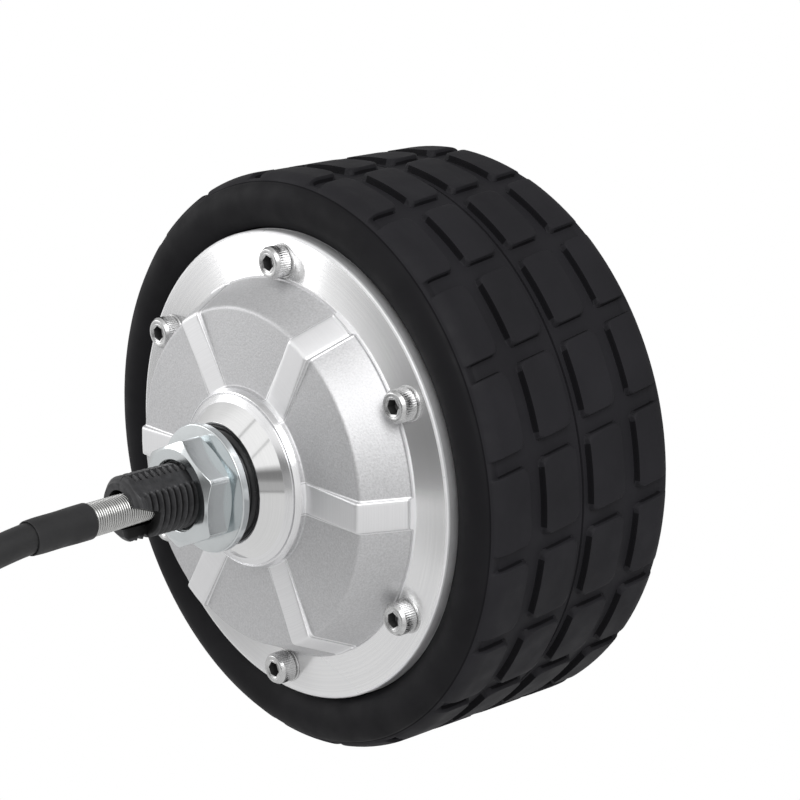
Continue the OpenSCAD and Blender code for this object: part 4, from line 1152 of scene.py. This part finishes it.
def add_nut():
    """A hexagon nut: chamfered corners on both faces, and a hole."""
    columns, corner, chamfer_slope = 288, 0.22, 30
    turns = all_round(columns)
    side = hexagon(turns, NUT_W, corner)
    face_r, hole = NUT_W / 2 - 0.55, THREAD_R + 0.05
    drop = np.maximum(side - face_r, 0) * math.tan(math.radians(chamfer_slope))
    low, high = NUT_Z, NUT_TOP_Z
    rows = [(hole + 0.75, low), (face_r, low), (side - 0.06, low + drop - 0.04), (side, low + drop + 0.08),
            (side, high - drop - 0.08), (side - 0.06, high - drop + 0.03), (face_r, high),
            (face_r - 0.25, high), (hole + 0.75, high), (hole + 0.6, high - 0.08),
            (hole + 0.1, high - 0.62), (hole, high - 0.8), (hole, low + 0.8)]
    points = np.array([polar(r, turns + NUT_TURN, z) for r, z in rows])
    make_piece("hex_nut", to_row(points), grid_faces(len(rows), columns, True), AXLE, [ZINC], ("axle_nut",),
               sharp=20)


def cutter(points, faces):
    """A closed body for a cut, from points in the piece frame."""
    mesh = bpy.data.meshes.new("cutter")
    mesh.from_pydata(to_row(points).tolist(), [], faces)
    face_outward(mesh)
    return new_object("cutter", mesh)


def cylinder_cutter(r, start, direction, length):
    """A cylinder for a cut, along a direction of length 1."""
    sides, askew = 64, [0.3, 1, 0.2]
    side = np.cross(direction, askew)
    side /= np.linalg.norm(side)
    up = np.cross(direction, side)
    angle = np.linspace(0, 2 * math.pi, sides, endpoint=False)
    ring = start + r * (np.outer(np.cos(angle), side) + np.outer(np.sin(angle), up))
    return cutter(np.vstack([ring, ring + np.multiply(direction, length)]), tube_faces(2, sides))


def slot_cutter():
    """The slot's wedge: one wall through the axle's middle, and one that slopes out to the tip."""
    low, high, reach = TIP_Z - SLOT_LEN, TIP_Z + 1, 2 * THREAD_R
    slope = math.tan(math.radians(SLOT_SLOPE))
    crossing = TIP_Z - SLOT_CROSSING
    at_low, at_high = (crossing - low) * slope, (crossing - high) * slope
    section = [(at_low, low), (reach, low), (reach, high), (at_high, high)]
    out, across = polar(1.0, SLOT_TURN, 0.0), polar(1.0, SLOT_TURN + 90, 0.0)
    points = [across * x + out * y + [0, 0, z] for y in (-SLOT_OVERLAP, reach) for x, z in section]
    return cutter(np.array(points), tube_faces(2, 4))


def cut_away(obj, cutters):
    """Subtracts closed meshes from obj and keeps the result as its mesh."""
    for tool in cutters:
        cut = obj.modifiers.new("cut", "BOOLEAN")
        cut.object = tool
        cut.operation = "DIFFERENCE"
        cut.solver = "EXACT"
        bpy.context.view_layer.update()
        done = bpy.data.meshes.new_from_object(obj.evaluated_get(bpy.context.evaluated_depsgraph_get()))
        obj.modifiers.clear()
        obj.data = done
        bpy.data.objects.remove(tool)


def axle_rows(turns):
    """The axle's rows of radius and height: stepped inside the wheel, threaded outside, with a flat."""
    rear_end, rear_stop, seat_from, seat_to, front_stop = -22.5, -14, -12, 24.65, 28.15
    rear_r, rear_stop_r, seat_r, front_stop_r, front_r = 6, 8.2, 10, 9, 7.5
    rows = [(0, rear_end), (rear_r - 0.5, rear_end), (rear_r, rear_end + 0.5), (rear_r, rear_stop),
            (rear_stop_r, rear_stop), (rear_stop_r, seat_from), (seat_r, seat_from), (seat_r, seat_to),
            (front_stop_r, seat_to), (front_stop_r, front_stop), (front_r, front_stop),
            (front_r, WASHER_Z - 0.02)]
    per_pitch, tip_r, smooth_end = 14, THREAD_R - TIP_CHAMFER, 1.9
    flat_reach, filled_reach, filled_fade = 60, 19, 6
    from_flat = (turns - FLAT_TURN + 180) % 360 - 180
    on_flat = np.abs(from_flat) < flat_reach
    flat_r = (THREAD_R - FLAT_DEPTH) / np.cos(np.radians(np.where(on_flat, from_flat, 0)))
    near_flat = smooth_step((filled_reach - np.abs(from_flat)) / filled_fade)
    for k in range(int(((TIP_Z - WASHER_Z) / THREAD_PITCH + 1) * per_pitch) + 1):
        phase = k / per_pitch
        z = WASHER_Z + (phase + turns / 360 - 1) * THREAD_PITCH
        chamfer = tip_r + np.clip(TIP_Z - z, 0, TIP_CHAMFER)
        fade = smooth_step(TIP_Z - smooth_end - z)
        r = np.minimum(THREAD_R - THREAD_DEPTH * thread_profile(phase), chamfer)
        r = r * fade + np.minimum(chamfer, THREAD_R - 0.1) * (1 - fade)
        filled = r + (np.minimum(flat_r, THREAD_R) - 0.03 - r) * near_flat
        r = np.minimum(np.where(on_flat, np.where(r > flat_r, flat_r, filled), r), chamfer)
        r = np.where(z <= WASHER_Z, THREAD_R - THREAD_DEPTH, np.where(z >= TIP_Z, tip_r, r))
        rows.append((r, np.clip(z, WASHER_Z, TIP_Z)))
    return rows + [(0, TIP_Z)]


def add_axle():
    """The hollow axle, with the cable's slot."""
    columns, bore_from, sharp, overlap, leaning_len = 180, 30, 38, 0.4, 12
    turns = all_round(columns)
    points = np.array([polar(r, turns, z) for r, z in axle_rows(turns)])
    axle = make_piece("axle_threaded", to_row(points), grid_faces(len(points), columns), AXLE, [OXIDE],
                      ("axle",), sharp=sharp)
    lean, turn = math.radians(CABLE_LEAN), math.radians(CABLE_TURN)
    leaning = np.array([math.sin(turn) * math.sin(lean), math.cos(turn) * math.sin(lean), math.cos(lean)])
    cut_away(axle, [
        cylinder_cutter(BORE_R, [0, 0, bore_from], [0, 0, 1], LEAN_Z - bore_from),
        cylinder_cutter(BORE_MOUTH_R, [0, 0, LEAN_Z - 0.5], [0, 0, 1], TIP_Z + 1 - LEAN_Z),
        cylinder_cutter(BORE_R, [0, 0, LEAN_Z] - leaning * overlap, leaning, leaning_len), slot_cutter()])
    shade_smooth(axle.data, sharp)


add_tyre()
add_cover()
add_rim()
add_rear_cap()
add_screws()
add_screw_washers()
add_seal()
add_washer()
add_nut()
add_axle()
for node, look in CAD_LOOKS.items():
    carried = frame["nodes"][node]
    carried.data.materials.clear()
    carried.data.materials.append(look)

add_world()
add_floor()
add_lamp("softbox_right", place=(0.60, -0.28, 0.68), size=0.75, power=3.9)
add_lamp("softbox_left", place=(-0.76, -0.50, 0.24), size=0.5, power=1.2)
bpy.context.scene.view_settings.view_transform = "Standard"
